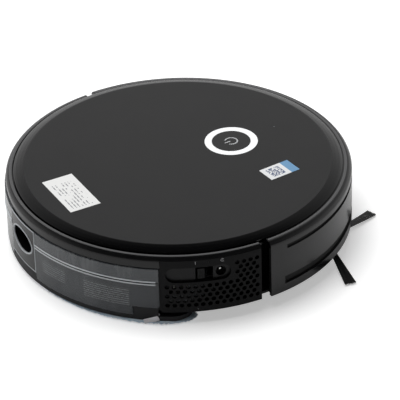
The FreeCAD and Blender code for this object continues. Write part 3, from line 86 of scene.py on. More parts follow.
def add_node(tree, kind, links=None, **values):
    """Shader node with properties, socket values and links set by name."""
    node = tree.nodes.new(kind)
    for key, value in values.items():
        setattr(node, key, value)
    for key, value in (links or {}).items():
        if isinstance(value, bpy.types.NodeSocket):
            tree.links.new(value, node.inputs[key])
        else:
            node.inputs[key].default_value = value
    return node


def mix_input(node, label):
    """Colour sockets of a Mix node share their names with its float ones."""
    return [s for s in node.inputs if s.name == label and s.type == "RGBA"][0]


def mix_colour(tree, factor, first, second):
    node = tree.nodes.new("ShaderNodeMix")
    node.data_type = "RGBA"
    tree.links.new(factor, node.inputs["Factor"])
    for label, value in (("A", first), ("B", second)):
        if isinstance(value, bpy.types.NodeSocket):
            tree.links.new(value, mix_input(node, label))
        else:
            mix_input(node, label).default_value = (*value, 1)
    return [s for s in node.outputs if s.type == "RGBA"][0]


def calculate(tree, operation, *values):
    return add_node(tree, "ShaderNodeMath", dict(enumerate(values)), operation=operation).outputs[0]


def multiply(tree, *masks):
    value = masks[0]
    for mask in masks[1:]:
        value = calculate(tree, "MULTIPLY", value, mask)
    return value


def object_place(tree):
    """Place on the piece in metres, which is also its place on the robot at rest."""
    return add_node(tree, "ShaderNodeTexCoord").outputs["Object"]


def step_mask(tree, value, low, high):
    """0 below one value and 1 above another."""
    node = add_node(tree, "ShaderNodeMapRange", {"Value": value, "From Min": low, "From Max": high},
                    interpolation_type="SMOOTHSTEP")
    return node.outputs["Result"]


def stripe_mask(tree, coordinate, period, duty, low, high):
    """1 on evenly spaced bands of one coordinate between two limits."""
    part = calculate(tree, "FRACT", calculate(tree, "MULTIPLY", coordinate, 1 / period))
    band = calculate(tree, "LESS_THAN", part, duty)
    return multiply(tree, band, range_mask(tree, coordinate, low, high))


def range_mask(tree, coordinate, low, high):
    above = calculate(tree, "GREATER_THAN", coordinate, low)
    below = calculate(tree, "LESS_THAN", coordinate, high)
    return multiply(tree, above, below)


def distance_from_axis(tree):
    """Distance from the robot's upright axis, and the three coordinates."""
    split = add_node(tree, "ShaderNodeSeparateXYZ", {"Vector": object_place(tree)})
    flat = add_node(tree, "ShaderNodeCombineXYZ", {"X": split.outputs["X"], "Y": split.outputs["Y"]})
    length = add_node(tree, "ShaderNodeVectorMath", {0: flat.outputs[0]}, operation="LENGTH")
    return length.outputs["Value"], split.outputs


def moulded_grain_group():
    """Fine spark-eroded grain of moulded plastic: a height, and a slow change of gloss."""
    group, given, result = make_group(
        "moulded_grain",
        [("Scale", "NodeSocketFloat", 2500.0), ("Roughness", "NodeSocketFloat", 0.4),
         ("Variation", "NodeSocketFloat", 0.06)],
        [("Height", "NodeSocketFloat"), ("Roughness", "NodeSocketFloat")])
    place = object_place(group)
    fine = add_node(group, "ShaderNodeTexNoise", {"Vector": place, "Scale": given.outputs["Scale"],
                                                  "Detail": 2.0, "Roughness": 0.6})
    broad = add_node(group, "ShaderNodeTexNoise", {"Vector": place, "Scale": 14.0, "Detail": 4.0,
                                                   "Roughness": 0.55})
    centred = calculate(group, "SUBTRACT", broad.outputs["Fac"], 0.5)
    change = calculate(group, "MULTIPLY", centred, given.outputs["Variation"])
    total = calculate(group, "ADD", change, given.outputs["Roughness"])
    group.links.new(fine.outputs["Fac"], result.inputs["Height"])
    group.links.new(total, result.inputs["Roughness"])
    return group


def dust_group():
    """Thin dust that settles on faces that look up, patchy and pale."""
    group, given, result = make_group(
        "settled_dust",
        [("Color", "NodeSocketColor", (0.02, 0.02, 0.02, 1)),
         ("Dust", "NodeSocketColor", (0.35, 0.34, 0.32, 1)), ("Amount", "NodeSocketFloat", 0.03)],
        [("Color", "NodeSocketColor")])
    place = object_place(group)
    shape = add_node(group, "ShaderNodeNewGeometry")
    split = add_node(group, "ShaderNodeSeparateXYZ", {"Vector": shape.outputs["Normal"]})
    up = calculate(group, "MAXIMUM", split.outputs["Z"], 0.0)
    patch = add_node(group, "ShaderNodeTexNoise", {"Vector": place, "Scale": 38.0, "Detail": 6.0,
                                                   "Roughness": 0.7})
    specks = add_node(group, "ShaderNodeTexNoise", {"Vector": place, "Scale": 900.0, "Detail": 1.0})
    weight = multiply(group, patch.outputs["Fac"], specks.outputs["Fac"], up, given.outputs["Amount"])
    blended = mix_colour(group, weight, given.outputs["Color"], given.outputs["Dust"])
    group.links.new(blended, result.inputs["Color"])
    return group


def colour_drift_group():
    """Slow change of tone between two colours."""
    group, given, result = make_group(
        "colour_drift",
        [("Color A", "NodeSocketColor", (0.5, 0.5, 0.5, 1)),
         ("Color B", "NodeSocketColor", (0.6, 0.6, 0.6, 1)), ("Scale", "NodeSocketFloat", 60.0)],
        [("Color", "NodeSocketColor")])
    drift = add_node(group, "ShaderNodeTexNoise", {"Vector": object_place(group),
                                                   "Scale": given.outputs["Scale"], "Detail": 5.0})
    blended = mix_colour(group, drift.outputs["Fac"], given.outputs["Color A"], given.outputs["Color B"])
    group.links.new(blended, result.inputs["Color"])
    return group


moulded_grain = moulded_grain_group()
settled_dust = dust_group()
colour_drift = colour_drift_group()


def new_material(name):
    material = bpy.data.materials.new(name)
    material.use_nodes = True
    tree = material.node_tree
    return material, tree, tree.nodes["Principled BSDF"]


def place_group(tree, group, links):
    return add_node(tree, "ShaderNodeGroup", links, node_tree=group)


def drifting_colour(tree, first, second, scale):
    links = {"Color A": (*first, 1), "Color B": (*second, 1), "Scale": scale}
    return place_group(tree, colour_drift, links).outputs["Color"]


def moulded_surface(tree, shader, scale, roughness, variation, strength=0.0, depth=0.4 * MM):
    """Uneven gloss, and a fine grain where it has a strength."""
    surface = place_group(tree, moulded_grain, {"Scale": scale, "Roughness": roughness,
                                                "Variation": variation})
    tree.links.new(surface.outputs["Roughness"], shader.inputs["Roughness"])
    if strength:
        bump = add_node(tree, "ShaderNodeBump", {"Strength": strength, "Distance": depth,
                                                 "Height": surface.outputs["Height"]})
        tree.links.new(bump.outputs["Normal"], shader.inputs["Normal"])


def plastic(name, colour, roughness, grain=0.02, grain_scale=2500.0, variation=0.06, dust=0.03,
            coat=0.0, specular=0.5):
    """Moulded plastic: grain in a bump, uneven gloss and a little dust on top."""
    material, tree, shader = new_material(name)
    base = drifting_colour(tree, colour, [c * 1.18 for c in colour], 22.0)
    dusty = place_group(tree, settled_dust, {"Color": base, "Amount": dust})
    moulded_surface(tree, shader, grain_scale, roughness, variation, grain)
    tree.links.new(dusty.outputs["Color"], shader.inputs["Base Color"])
    shader.inputs["Specular IOR Level"].default_value = specular
    shader.inputs["Coat Weight"].default_value = coat
    shader.inputs["Coat Roughness"].default_value = 0.06
    return material


def metal(name, colour, roughness):
    """Plain or plated metal with fine directional scratches."""
    material, tree, shader = new_material(name)
    base = drifting_colour(tree, colour, [c * 0.8 for c in colour], 45.0)
    stretch = add_node(tree, "ShaderNodeMapping", {"Vector": object_place(tree), "Scale": (0.06, 1.0, 1.0)})
    lines = add_node(tree, "ShaderNodeTexNoise", {"Vector": stretch.outputs["Vector"], "Scale": 400.0,
                                                  "Detail": 4.0})
    uneven = add_node(tree, "ShaderNodeMapRange", {"Value": lines.outputs["Fac"],
                                                   "To Min": roughness - 0.08, "To Max": roughness + 0.1})
    bump = add_node(tree, "ShaderNodeBump", {"Strength": 0.05, "Distance": 0.3 * MM,
                                             "Height": lines.outputs["Fac"]})
    tree.links.new(base, shader.inputs["Base Color"])
    tree.links.new(uneven.outputs["Result"], shader.inputs["Roughness"])
    tree.links.new(bump.outputs["Normal"], shader.inputs["Normal"])
    shader.inputs["Metallic"].default_value = 1.0
    return material


def rule_block(tree, degrees, height, angles, heights, duty):
    """Evenly spaced rules inside one patch of the tank's wall."""
    return multiply(tree, range_mask(tree, degrees, *angles),
                    stripe_mask(tree, height, rule_pitch, duty, *heights))


def smoky_clear(name, dark, light, marked=False):
    """Dark see-through plastic with cloudy streaks; the tank also has two blocks of broken rules."""
    material, tree, shader = new_material(name)
    _, place = distance_from_axis(tree)
    angle = calculate(tree, "ARCTAN2", place["Y"], place["X"])
    along = add_node(tree, "ShaderNodeCombineXYZ", {"X": angle, "Y": place["Z"]}).outputs[0]
    streaks = add_node(tree, "ShaderNodeTexNoise", {"Vector": along, "Scale": 9.0, "Detail": 5.0,
                                                    "Roughness": 0.62})
    colour = mix_colour(tree, step_mask(tree, streaks.outputs["Fac"], 0.38, 0.68), dark, light)
    if marked:
        degrees = calculate(tree, "DEGREES", angle)
        breaks = add_node(tree, "ShaderNodeTexNoise", {"Vector": along, "Scale": 420.0, "Detail": 1.0})
        kept = calculate(tree, "GREATER_THAN", breaks.outputs["Fac"], 0.47)
        wide = rule_block(tree, degrees, place["Z"], (117.0, 133.0), (19.5 * MM, 38.5 * MM), 0.40)
        narrow = rule_block(tree, degrees, place["Z"], (99.0, 109.5), (24.0 * MM, 38.5 * MM), 0.34)
        blocks = calculate(tree, "MAXIMUM", wide, narrow)
        colour = mix_colour(tree, multiply(tree, blocks, kept), colour, (0.26, 0.275, 0.28))
    moulded_surface(tree, shader, 60.0, 0.14, 0.10, 0.03, 0.2 * MM)
    tree.links.new(colour, shader.inputs["Base Color"])
    shader.inputs["Alpha"].default_value = 0.82
    shader.inputs["Coat Weight"].default_value = 0.35
    shader.inputs["Coat Roughness"].default_value = 0.08
    return material


def glowing_ring():
    """White light guide with a soft even glow."""
    material, tree, shader = new_material("light_guide")
    base = drifting_colour(tree, (0.82, 0.83, 0.84), (0.92, 0.93, 0.94), 80.0)
    moulded_surface(tree, shader, 1800.0, 0.4, 0.05)
    tree.links.new(base, shader.inputs["Base Color"])
    tree.links.new(base, shader.inputs["Emission Color"])
    shader.inputs["Emission Strength"].default_value = 0.25
    shader.inputs["Subsurface Weight"].default_value = 0.2
    shader.inputs["Subsurface Radius"].default_value = (2 * MM, 2 * MM, 2 * MM)
    return material


def soft_fibre(name, colour_a, colour_b, scale):
    """Cloth, webbing or paper: two tones of fibre with a lumpy bump."""
    material, tree, shader = new_material(name)
    base = drifting_colour(tree, colour_a, colour_b, scale * 0.2)
    place = object_place(tree)
    loops = add_node(tree, "ShaderNodeTexVoronoi", {"Vector": place, "Scale": scale})
    strands = add_node(tree, "ShaderNodeTexNoise", {"Vector": place, "Scale": scale * 2.2, "Detail": 3.0})
    height = calculate(tree, "ADD", loops.outputs["Distance"], strands.outputs["Fac"])
    bump = add_node(tree, "ShaderNodeBump", {"Strength": 0.5, "Distance": 0.8 * MM, "Height": height})
    tree.links.new(base, shader.inputs["Base Color"])
    tree.links.new(bump.outputs["Normal"], shader.inputs["Normal"])
    shader.inputs["Roughness"].default_value = 0.9
    shader.inputs["Sheen Weight"].default_value = 0.4
    return material


def darken_where(material, mask, colour, roughness):
    """Second colour and gloss where a mask is 1."""
    tree = material.node_tree
    shader = tree.nodes["Principled BSDF"]
    black = shader.inputs["Base Color"].links[0].from_socket
    tree.links.new(mix_colour(tree, mask, black, colour), shader.inputs["Base Color"])
    gloss = shader.inputs["Roughness"].links[0].from_socket
    mixed = add_node(tree, "ShaderNodeMix", {0: mask, 2: gloss, 3: roughness})
    tree.links.new(mixed.outputs[0], shader.inputs["Roughness"])


def cover_with_painted_skirt_shade():
    """Satin cover whose sloping edge is polished and painted darker as shade."""
    material = plastic("cover_grey_satin", (0.0050, 0.0050, 0.0054), 0.34, grain=0.05, grain_scale=3200.0,
                       specular=0.40)
    tree = material.node_tree
    distance, _ = distance_from_axis(tree)
    skirt_shade = step_mask(tree, distance, plateau_radius - 0.2 * MM, plateau_radius + 1.0 * MM)
    # painted shade: the sloping skirt's colour is darkened to near black
    darken_where(material, skirt_shade, (0.0012, 0.0012, 0.0014), 0.20)
    return material


def bumper_with_painted_groove_shade():
    """Polished bumper; the floors of its two grooves are unpolished and painted black as shade."""
    material = plastic("bumper_gloss", (0.0035, 0.0035, 0.0040), 0.20, grain=0.01, grain_scale=900.0,
                       dust=0.04, specular=0.45)
    tree = material.node_tree
    distance, place = distance_from_axis(tree)
    outer = step_mask(tree, distance, shell_radius - 1.2 * MM, shell_radius - 0.5 * MM)
    top = step_mask(tree, place["Z"], rim_top - 7.6 * MM, rim_top - 7.0 * MM)
    groove_shade = multiply(tree, calculate(tree, "SUBTRACT", 1.0, outer), calculate(tree, "SUBTRACT", 1.0, top))
    # painted shade: the groove floors are coloured near black where shade falls in the grooves
    darken_where(material, groove_shade, (0.0006, 0.0006, 0.0007), 0.75)
    return material


def jack_pin_finish(plain):
    """The socket's black plastic, with the bright pin along its middle."""
    material = plain.copy()
    material.name = "socket_black_with_pin"
    tree = material.node_tree
    shader = tree.nodes["Principled BSDF"]
    centre = sum(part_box("dc_jack"), Vector()) / 2
    axis = Vector((centre.x, centre.y, 0)).normalized()
    offset = add_node(tree, "ShaderNodeVectorMath", {0: object_place(tree), 1: tuple(-centre)},
                      operation="ADD")
    away = add_node(tree, "ShaderNodeVectorMath", {0: offset.outputs[0], 1: tuple(axis)},
                    operation="CROSS_PRODUCT")
    distance = add_node(tree, "ShaderNodeVectorMath", {0: away.outputs[0]}, operation="LENGTH")
    on_pin = calculate(tree, "LESS_THAN", distance.outputs["Value"], 1.3 * MM)
    black = shader.inputs["Base Color"].links[0].from_socket
    tree.links.new(mix_colour(tree, on_pin, black, (0.62, 0.62, 0.60)), shader.inputs["Base Color"])
    tree.links.new(on_pin, shader.inputs["Metallic"])
    return material


rule_pitch = 2.4 * MM
cover_finish = cover_with_painted_skirt_shade()
bumper_finish = bumper_with_painted_groove_shade()
rim_finish = plastic("rim_satin_black", (0.0022, 0.0022, 0.0026), 0.18, grain=0.02, specular=0.40)
# painted highlight: the rim lip is coloured lighter grey than the black rim
rim_lip_highlight_finish = plastic("rim_lip_painted_highlight", (0.070, 0.070, 0.072), 0.22, grain=0.02, specular=0.6)
handle_finish = plastic("handle_satin_black", (0.0040, 0.0043, 0.0048), 0.26, grain=0.04, specular=0.32)
panel_finish = plastic("panel_matte_black", (0.0042, 0.0042, 0.0046), 0.45, grain=0.12, specular=0.12)
tray_finish = plastic("tray_satin_black", (0.0095, 0.0095, 0.0100), 0.38, grain=0.08, specular=0.2)
pad_finish = plastic("switch_matte_black", (0.0030, 0.0030, 0.0034), 0.40, grain=0.08, specular=0.18)
window_finish = plastic("sensor_window_black", (0.002, 0.002, 0.003), 0.06, grain=0.0, dust=0.02, coat=0.5)
button_finish = plastic("button_gloss_black", (0.0085, 0.0085, 0.0090), 0.20, grain=0.01, dust=0.02,
                        specular=0.42)
underside_finish = plastic("underside_matte_black", (0.010, 0.010, 0.011), 0.5, grain=0.15, specular=0.25)
grey_finish = plastic("grey_satin_plastic", (0.10, 0.105, 0.11), 0.42, grain=0.08)
release_finish = plastic("release_dark_plastic", (0.010, 0.011, 0.013), 0.40, grain=0.08, specular=0.3)
gear_finish = plastic("acetal_white", (0.74, 0.73, 0.68), 0.38, grain=0.04, dust=0.0)
board_finish = plastic("board_green_lacquer", (0.010, 0.085, 0.035), 0.25, grain=0.05, dust=0.0)
rubber_finish = plastic("tyre_rubber", (0.014, 0.014, 0.0145), 0.72, grain=0.5, grain_scale=1500.0, dust=0.15)
roller_finish = plastic("roller_blue_rubber", (0.016, 0.045, 0.11), 0.5, grain=0.2, dust=0.0)
cell_finish = plastic("cell_wrap_blue", (0.02, 0.07, 0.28), 0.22, grain=0.05, dust=0.0)
speaker_finish = plastic("speaker_cone", (0.02, 0.02, 0.02), 0.8, grain=0.4, dust=0.0)
bristle_finish = plastic("bristle_black", (0.020, 0.020, 0.021), 0.35, grain=0.1, dust=0.1, specular=0.6)
mark_finish = plastic("printed_mark_grey", (0.40, 0.40, 0.41), 0.5, grain=0.0, dust=0.0)
glyph_finish = plastic("button_glyph_grey", (0.42, 0.43, 0.44), 0.4, grain=0.0, dust=0.0)
lens_finish = plastic("indicator_lens", (0.24, 0.25, 0.26), 0.2, grain=0.0, dust=0.0)
# painted highlight: pale grey beads stand for the bright edges along the tank's seam
seam_highlight_finish = plastic("seam_bead_painted_highlight", (0.62, 0.64, 0.66), 0.16, grain=0.02, dust=0.0, specular=0.7)
# painted highlight: pale grey edges stand for the bright lines on the handle's rims and slot lip
handle_edge_highlight_finish = plastic("handle_edge_painted_highlight", (0.42, 0.44, 0.46), 0.18, grain=0.02, dust=0.0, specular=0.6)
filter_finish = soft_fibre("filter_paper", (0.72, 0.71, 0.67), (0.82, 0.81, 0.78), 900.0)
mop_finish = soft_fibre("mop_microfibre", (0.40, 0.58, 0.74), (0.86, 0.92, 0.95), 700.0)
strap_finish = soft_fibre("strap_webbing", (0.76, 0.75, 0.78), (0.90, 0.89, 0.92), 1400.0)
steel_finish = metal("plain_steel", (0.55, 0.55, 0.56), 0.32)
can_finish = metal("plated_motor_can", (0.62, 0.62, 0.60), 0.28)
contact_finish = metal("gold_contact", (0.80, 0.62, 0.30), 0.22)
socket_finish = jack_pin_finish(pad_finish)
tank_finish = smoky_clear("smoky_tank", (0.024, 0.029, 0.036), (0.070, 0.078, 0.086), True)
tank_cover_finish = smoky_clear("smoky_tank_cover", (0.070, 0.078, 0.086), (0.135, 0.142, 0.150))
ring_finish = glowing_ring()
loop_finish = soft_fibre("mop_loop_pile", (0.30, 0.50, 0.70), (0.92, 0.95, 0.96), 300.0)


# ================= printed labels =================

def label_coordinates(tree, node_name, turn):
    """The label's own x and y, in metres from its centre."""
    centre = sum(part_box(node_name), Vector()) / 2
    shift = add_node(tree, "ShaderNodeVectorMath", {0: object_place(tree), 1: (-centre.x, -centre.y, 0)},
                     operation="ADD")
    turned = add_node(tree, "ShaderNodeVectorRotate", {"Vector": shift.outputs[0], "Angle": -turn},
                      rotation_type="Z_AXIS")
    split = add_node(tree, "ShaderNodeSeparateXYZ", {"Vector": turned.outputs[0]})
    return split.outputs["X"], split.outputs["Y"]


def product_label_finish():
    """White film with rows of plain grey rules; nothing on it can be read."""
    material, tree, shader = new_material("white_label")
    x, y = label_coordinates(tree, "product_label", math.radians(-2.5))
    rules = stripe_mask(tree, y, 3.4 * MM, 0.34, -12.5 * MM, 12.5 * MM)
    columns = stripe_mask(tree, x, 6.2 * MM, 0.82, -27 * MM, 20 * MM)
    breaks = add_node(tree, "ShaderNodeTexNoise", {"Vector": object_place(tree), "Scale": 160.0})
    kept = calculate(tree, "GREATER_THAN", breaks.outputs["Fac"], 0.46)
    ink = multiply(tree, rules, columns, kept)
    colour = mix_colour(tree, ink, (0.86, 0.86, 0.85), (0.30, 0.30, 0.32))
    moulded_surface(tree, shader, 900.0, 0.42, 0.1)
    tree.links.new(colour, shader.inputs["Base Color"])
    return material


def code_label_finish():
    """White film with a square of random cells, and a plain blue end."""
    material, tree, shader = new_material("code_label")
    x, y = label_coordinates(tree, "code_label", math.radians(3.0))
    cells = add_node(tree, "ShaderNodeVectorMath", {0: object_place(tree), 1: (0.9 * MM,) * 3},
                     operation="SNAP")
    noise = add_node(tree, "ShaderNodeTexWhiteNoise", {"Vector": cells.outputs[0]}, noise_dimensions="2D")
    dark = calculate(tree, "GREATER_THAN", noise.outputs["Value"], 0.5)
    square = multiply(tree, range_mask(tree, x, -7.5 * MM, 7.5 * MM),
                      range_mask(tree, y, -3.0 * MM, 12.0 * MM))
    printed = mix_colour(tree, multiply(tree, dark, square), (0.84, 0.85, 0.86), (0.10, 0.13, 0.22))
    blue_end = calculate(tree, "LESS_THAN", y, -7.5 * MM)
    colour = mix_colour(tree, blue_end, printed, (0.16, 0.34, 0.56))
    moulded_surface(tree, shader, 900.0, 0.40, 0.1)
    tree.links.new(colour, shader.inputs["Base Color"])
    return material


# ================= finishes of the CAD pieces =================

node_finish = {
    "base_tray": underside_finish, "upper_housing": rim_finish, "top_cover": cover_finish,
    "light_ring": ring_finish, "start_button": button_finish, "main_board": board_finish,
    "product_label": product_label_finish(), "code_label": code_label_finish(),
    "side_panel_right": panel_finish, "side_panel_left": panel_finish, "control_tray": tray_finish,
    "power_switch": pad_finish, "dc_jack": socket_finish, "bumper_shell": bumper_finish,
    "bumper_window": window_finish, "bumper_springs": steel_finish, "caster_fork": underside_finish,
    "caster_wheel": rubber_finish, "side_brush_right": bristle_finish, "side_brush_left": bristle_finish,
    "side_brush_motors": grey_finish, "brush_roller": roller_finish, "roller_gear": gear_finish,
    "brush_idler": gear_finish, "brush_pinion": steel_finish, "brush_gear_case": grey_finish,
    "brush_motor": can_finish, "brush_guard": grey_finish, "guard_latches": button_finish,
    "fan_housing": grey_finish, "fan_motor": can_finish, "fan_impeller": gear_finish,
    "suction_duct": underside_finish, "speaker": speaker_finish, "battery_pack": cell_finish,
    "battery_cover": underside_finish, "cliff_sensors": window_finish, "charging_contacts": contact_finish,
    "screws": steel_finish, "water_tank": tank_finish, "tank_cover": tank_cover_finish,
    "module_handle": handle_finish, "release_button": release_finish, "dust_bin": tank_finish,
    "bin_lid": tray_finish, "bin_filter": filter_finish, "mop_plate": underside_finish,
    "mop_cloth": mop_finish,
}
for side in ("left", "right"):
    node_finish["wheel_arm_" + side] = underside_finish
    node_finish["wheel_motor_" + side] = can_finish
    node_finish["wheel_hub_" + side] = grey_finish
    node_finish["tyre_" + side] = rubber_finish
    node_finish["wheel_gear_" + side] = gear_finish
    node_finish["motor_pinion_" + side] = steel_finish


for node_name, node in nodes.items():
    node.data.materials.clear()
    node.data.materials.append(node_finish[node_name])


# ================= mesh helpers =================

def polar(radius, degrees, height):
    """Point at a distance and direction from the robot's centre, in metres."""
    angle = math.radians(degrees)
    return Vector((radius * math.cos(angle), radius * math.sin(angle), height))


def sweep(path, radii, sides=8, closed=False, up=(0, 0, 1), flatten=1.0):
    """Corners and faces of a tube that follows a path; flatten squeezes it along up."""
    up = Vector(up)
    corners, faces = [], []
    count = len(path)
    for i, point in enumerate(path):
        before = path[i - 1] if closed or i else path[i]
        after = path[(i + 1) % count] if closed or i + 1 < count else path[i]
        along = (after - before).normalized()
        side = along.cross(up).normalized()
        top = side.cross(along)
        radius = radii[i] if isinstance(radii, (list, tuple)) else radii
        for k in range(sides):
            turn = math.tau * k / sides
            corners.append(point + (side * math.cos(turn) + top * math.sin(turn) * flatten) * radius)
    for i in range(count if closed else count - 1):
        here, there = i * sides, (i + 1) % count * sides
        for k in range(sides):
            after = (k + 1) % sides
            faces.append((here + k, here + after, there + after, there + k))
    if not closed:
        faces.append(tuple(reversed(range(sides))))
        faces.append(tuple(range((count - 1) * sides, count * sides)))
    return corners, faces


def lathe(profile, steps, start=0.0, end=360.0, centre=(0, 0)):
    """Corners and faces of an upright profile of (radius, height) turned about Z."""
    corners, faces = [], []
    whole = end - start >= 360.0
    rows = steps if whole else steps + 1
    sides = len(profile)
    for i in range(rows):
        angle = math.radians(start + (end - start) * i / steps)
        for radius, height in profile:
            corners.append(Vector((centre[0] + radius * math.cos(angle), centre[1] + radius * math.sin(angle),
                                   height)))
    for i in range(steps):
        here, there = i * sides, (i + 1) % rows * sides
        for k in range(sides):
            after = (k + 1) % sides
            faces.append((here + k, there + k, there + after, here + after))
    if not whole:
        faces.append(tuple(range(sides)))
        faces.append(tuple(reversed(range(steps * sides, (steps + 1) * sides))))
    return corners, faces


def joined(shapes):
    """Several shapes as one list of corners and one of faces."""
    corners, faces = [], []
    for more_corners, more_faces in shapes:
        shift = len(corners)
        corners += more_corners
        faces += [tuple(index + shift for index in face) for face in more_faces]
    return corners, faces


def make_piece(name, shape, finish, body, replaced=()):
    """A mesh that rides on a body and takes its finish from one of the material slots."""
    corners, faces = shape
    mesh = bpy.data.meshes.new(name)
    mesh.from_pydata([tuple(corner) for corner in corners], [], faces)
    mesh.validate()
    work = bmesh.new()
    work.from_mesh(mesh)
    bmesh.ops.recalc_face_normals(work, faces=work.faces)
    work.to_mesh(mesh)
    work.free()
    mesh.shade_smooth()
    mesh.set_sharp_from_angle(angle=math.radians(40))
    mesh.materials.append(finish)
    made = bpy.data.objects.new(name, mesh)
    bpy.context.scene.collection.objects.link(made)
    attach(made, body)
    if replaced:
        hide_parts(*replaced)
    return made


def rounded_section(inner, outer, low, high, radius, steps=3):
    """Closed section with rounded corners, as (radius, height) points."""
    points = []
    for x, z, first in ((outer - radius, high - radius, 0), (inner + radius, high - radius, 90),
                        (inner + radius, low + radius, 180), (outer - radius, low + radius, 270)):
        for i in range(steps + 1):
            angle = math.radians(first + 90 * i / steps)
            points.append((x + radius * math.cos(angle), z + radius * math.sin(angle)))
    return points


# ================= rim lip, beads and handle =================

def make_rim_lips():
    """Narrow satin band on the flat of the rim, lighter grey as a painted highlight: one half on the bumper,
    one on the housing.
    """
    inner = cover_high.x + 1.7 * MM
    section = rounded_section(inner, inner + 2.9 * MM, rim_top - 0.9 * MM, rim_top + 0.25 * MM, 0.4 * MM)
    front_end = math.degrees(math.asin(shell_high.y / inner)) - 0.3
    rear_end = math.degrees(math.asin(10.2 * MM / inner))
    rear = lathe(section, 160, rear_end, 180 - rear_end)
    front = lathe(section, 160, 180 - front_end, 360 + front_end)
    make_piece("rim_lip_rear", rear, rim_lip_highlight_finish, "root")
    make_piece("rim_lip_front", front, rim_lip_highlight_finish, "bumper")


def seam_bead(name, height):
    """Round bead along the tank's seam, on both sides of the handle, pale grey as a painted highlight."""
    tank_end = math.degrees(math.acos(tank_high.x / shell_radius)) + 0.4
    middle = math.degrees(handle_angle)
    gap = handle_half_angle + 0.3
    steps = 90
    shapes = []
    for start, end in ((tank_end, middle - gap), (middle + gap, 180 - tank_end)):
        turns = [start + (end - start) * i / steps for i in range(steps + 1)]
        path = [polar(shell_radius + 0.1 * MM, turn, height) for turn in turns]
        shapes.append(sweep(path, bead_radius))
    make_piece(name, joined(shapes), seam_highlight_finish, "bin_module")


def handle_point(across, height, stand=0.0):
    """Point on the handle's round face, by its distance from the handle's middle."""
    forward = Vector((math.cos(handle_angle), math.sin(handle_angle), 0))
    sideways = Vector((-forward.y, forward.x, 0))
    reach = math.sqrt((shell_radius + stand) ** 2 - across ** 2)
    return forward * reach + sideways * across + Vector((0, 0, height))


def make_finger_slot_lip():
    """Raised lip round the oval finger slot, pale grey as a painted highlight."""
    path = []
    for i in range(72):
        turn = math.tau * i / 72
        height = slot_height + slot_half_height * math.sin(turn)
        path.append(handle_point(slot_half_length * math.cos(turn), height, -0.2 * MM))
    outward = (math.cos(handle_angle), math.sin(handle_angle), 0)
    make_piece("finger_slot_lip", sweep(path, slot_lip_radius, 8, True, outward), handle_edge_highlight_finish,
               "bin_module")


def make_handle_edges():
    """Rounded edges along the top, the bottom and one side of the handle, pale grey as painted highlights."""
    reach = shell_radius * math.sin(math.radians(handle_half_angle)) - 0.3 * MM
    stand = -0.05 * MM
    shapes = []
    for height in (handle_low.z + 0.35 * MM, handle_high.z - 0.35 * MM):
        path = [handle_point(-reach + 2 * reach * i / 24, height, stand) for i in range(25)]
        shapes.append(sweep(path, handle_edge_radius))
    rise = handle_high.z - handle_low.z
    side = [handle_point(reach, handle_low.z + rise * i / 12, stand) for i in range(13)]
    shapes.append(sweep(side, handle_edge_radius, up=(1, 0, 0)))
    make_piece("handle_edges", joined(shapes), handle_edge_highlight_finish, "bin_module")


bead_radius = 0.75 * MM
slot_half_length = 21.0 * MM
slot_half_height = 12.5 * MM
slot_height = 41.5 * MM
slot_lip_radius = 1.0 * MM
handle_edge_radius = 0.55 * MM
handle_half_angle = 8.5
make_rim_lips()
seam_bead("seam_bead_upper", seam_low + seam_width - 0.3 * MM)
seam_bead("seam_bead_lower", seam_low + 0.2 * MM)
make_finger_slot_lip()
make_handle_edges()


# ================= marks and small lights =================

def panel_point(degrees, across, height):
    """Point just proud of the right side panel, beside a direction from the centre."""
    angle = math.radians(degrees) + across / panel_radius
    reach = panel_radius + 0.05 * MM
    return Vector((reach * math.cos(angle), reach * math.sin(angle), height))


def panel_line(degrees, path):
    return sweep(path, mark_half_width, 6, False, polar(1.0, degrees, 0))


def panel_arc(degrees, height, radius, start, end):
    steps = 20
    path = []
    for i in range(steps + 1):
        turn = math.radians(start + (end - start) * i / steps)
        path.append(panel_point(degrees, radius * math.cos(turn), height + radius * math.sin(turn)))
    return panel_line(degrees, path)


def panel_bar(degrees, low, high):
    return panel_line(degrees, [panel_point(degrees, 0, height) for height in (low, (low + high) / 2, high)])


def make_panel_marks():
    """Plain signs over the switch and the socket: a bar, a ring, and a dot with a half ring."""
    height = panel_high.z - 2.6 * MM
    size = 1.5 * MM
    marks = [panel_bar(on_mark_angle, height - size, height + size),
             panel_arc(socket_mark_angle, height, size, 30, 330),
             panel_bar(socket_mark_angle, height - size / 3, height + size / 3)]
    make_piece("panel_marks", joined(marks), mark_finish, "root")
    ring = panel_arc(off_mark_angle, height, size * 0.8, 0, 360)
    make_piece("panel_ring_mark", ring, tray_finish, "root")


def dome(centre, outward, radius, rise):
    """Shallow round cap that faces outward."""
    outward = Vector(outward).normalized()
    side = outward.orthogonal().normalized()
    other = outward.cross(side)
    rows, sides = 5, 20
    corners, faces = [], []
    for i in range(rows):
        part = i / (rows - 1)
        for k in range(sides):
            turn = math.tau * k / sides
            flat = (side * math.cos(turn) + other * math.sin(turn)) * radius * math.cos(part * math.pi / 2.2)
            corners.append(centre + flat + outward * rise * math.sin(part * math.pi / 2.2))
    for i in range(rows - 1):
        for k in range(sides):
            after = (k + 1) % sides
            faces.append((i * sides + k, i * sides + after, (i + 1) * sides + after, (i + 1) * sides + k))
    faces.append(tuple(range((rows - 1) * sides, rows * sides)))
    faces.append(tuple(reversed(range(sides))))
    return corners, faces


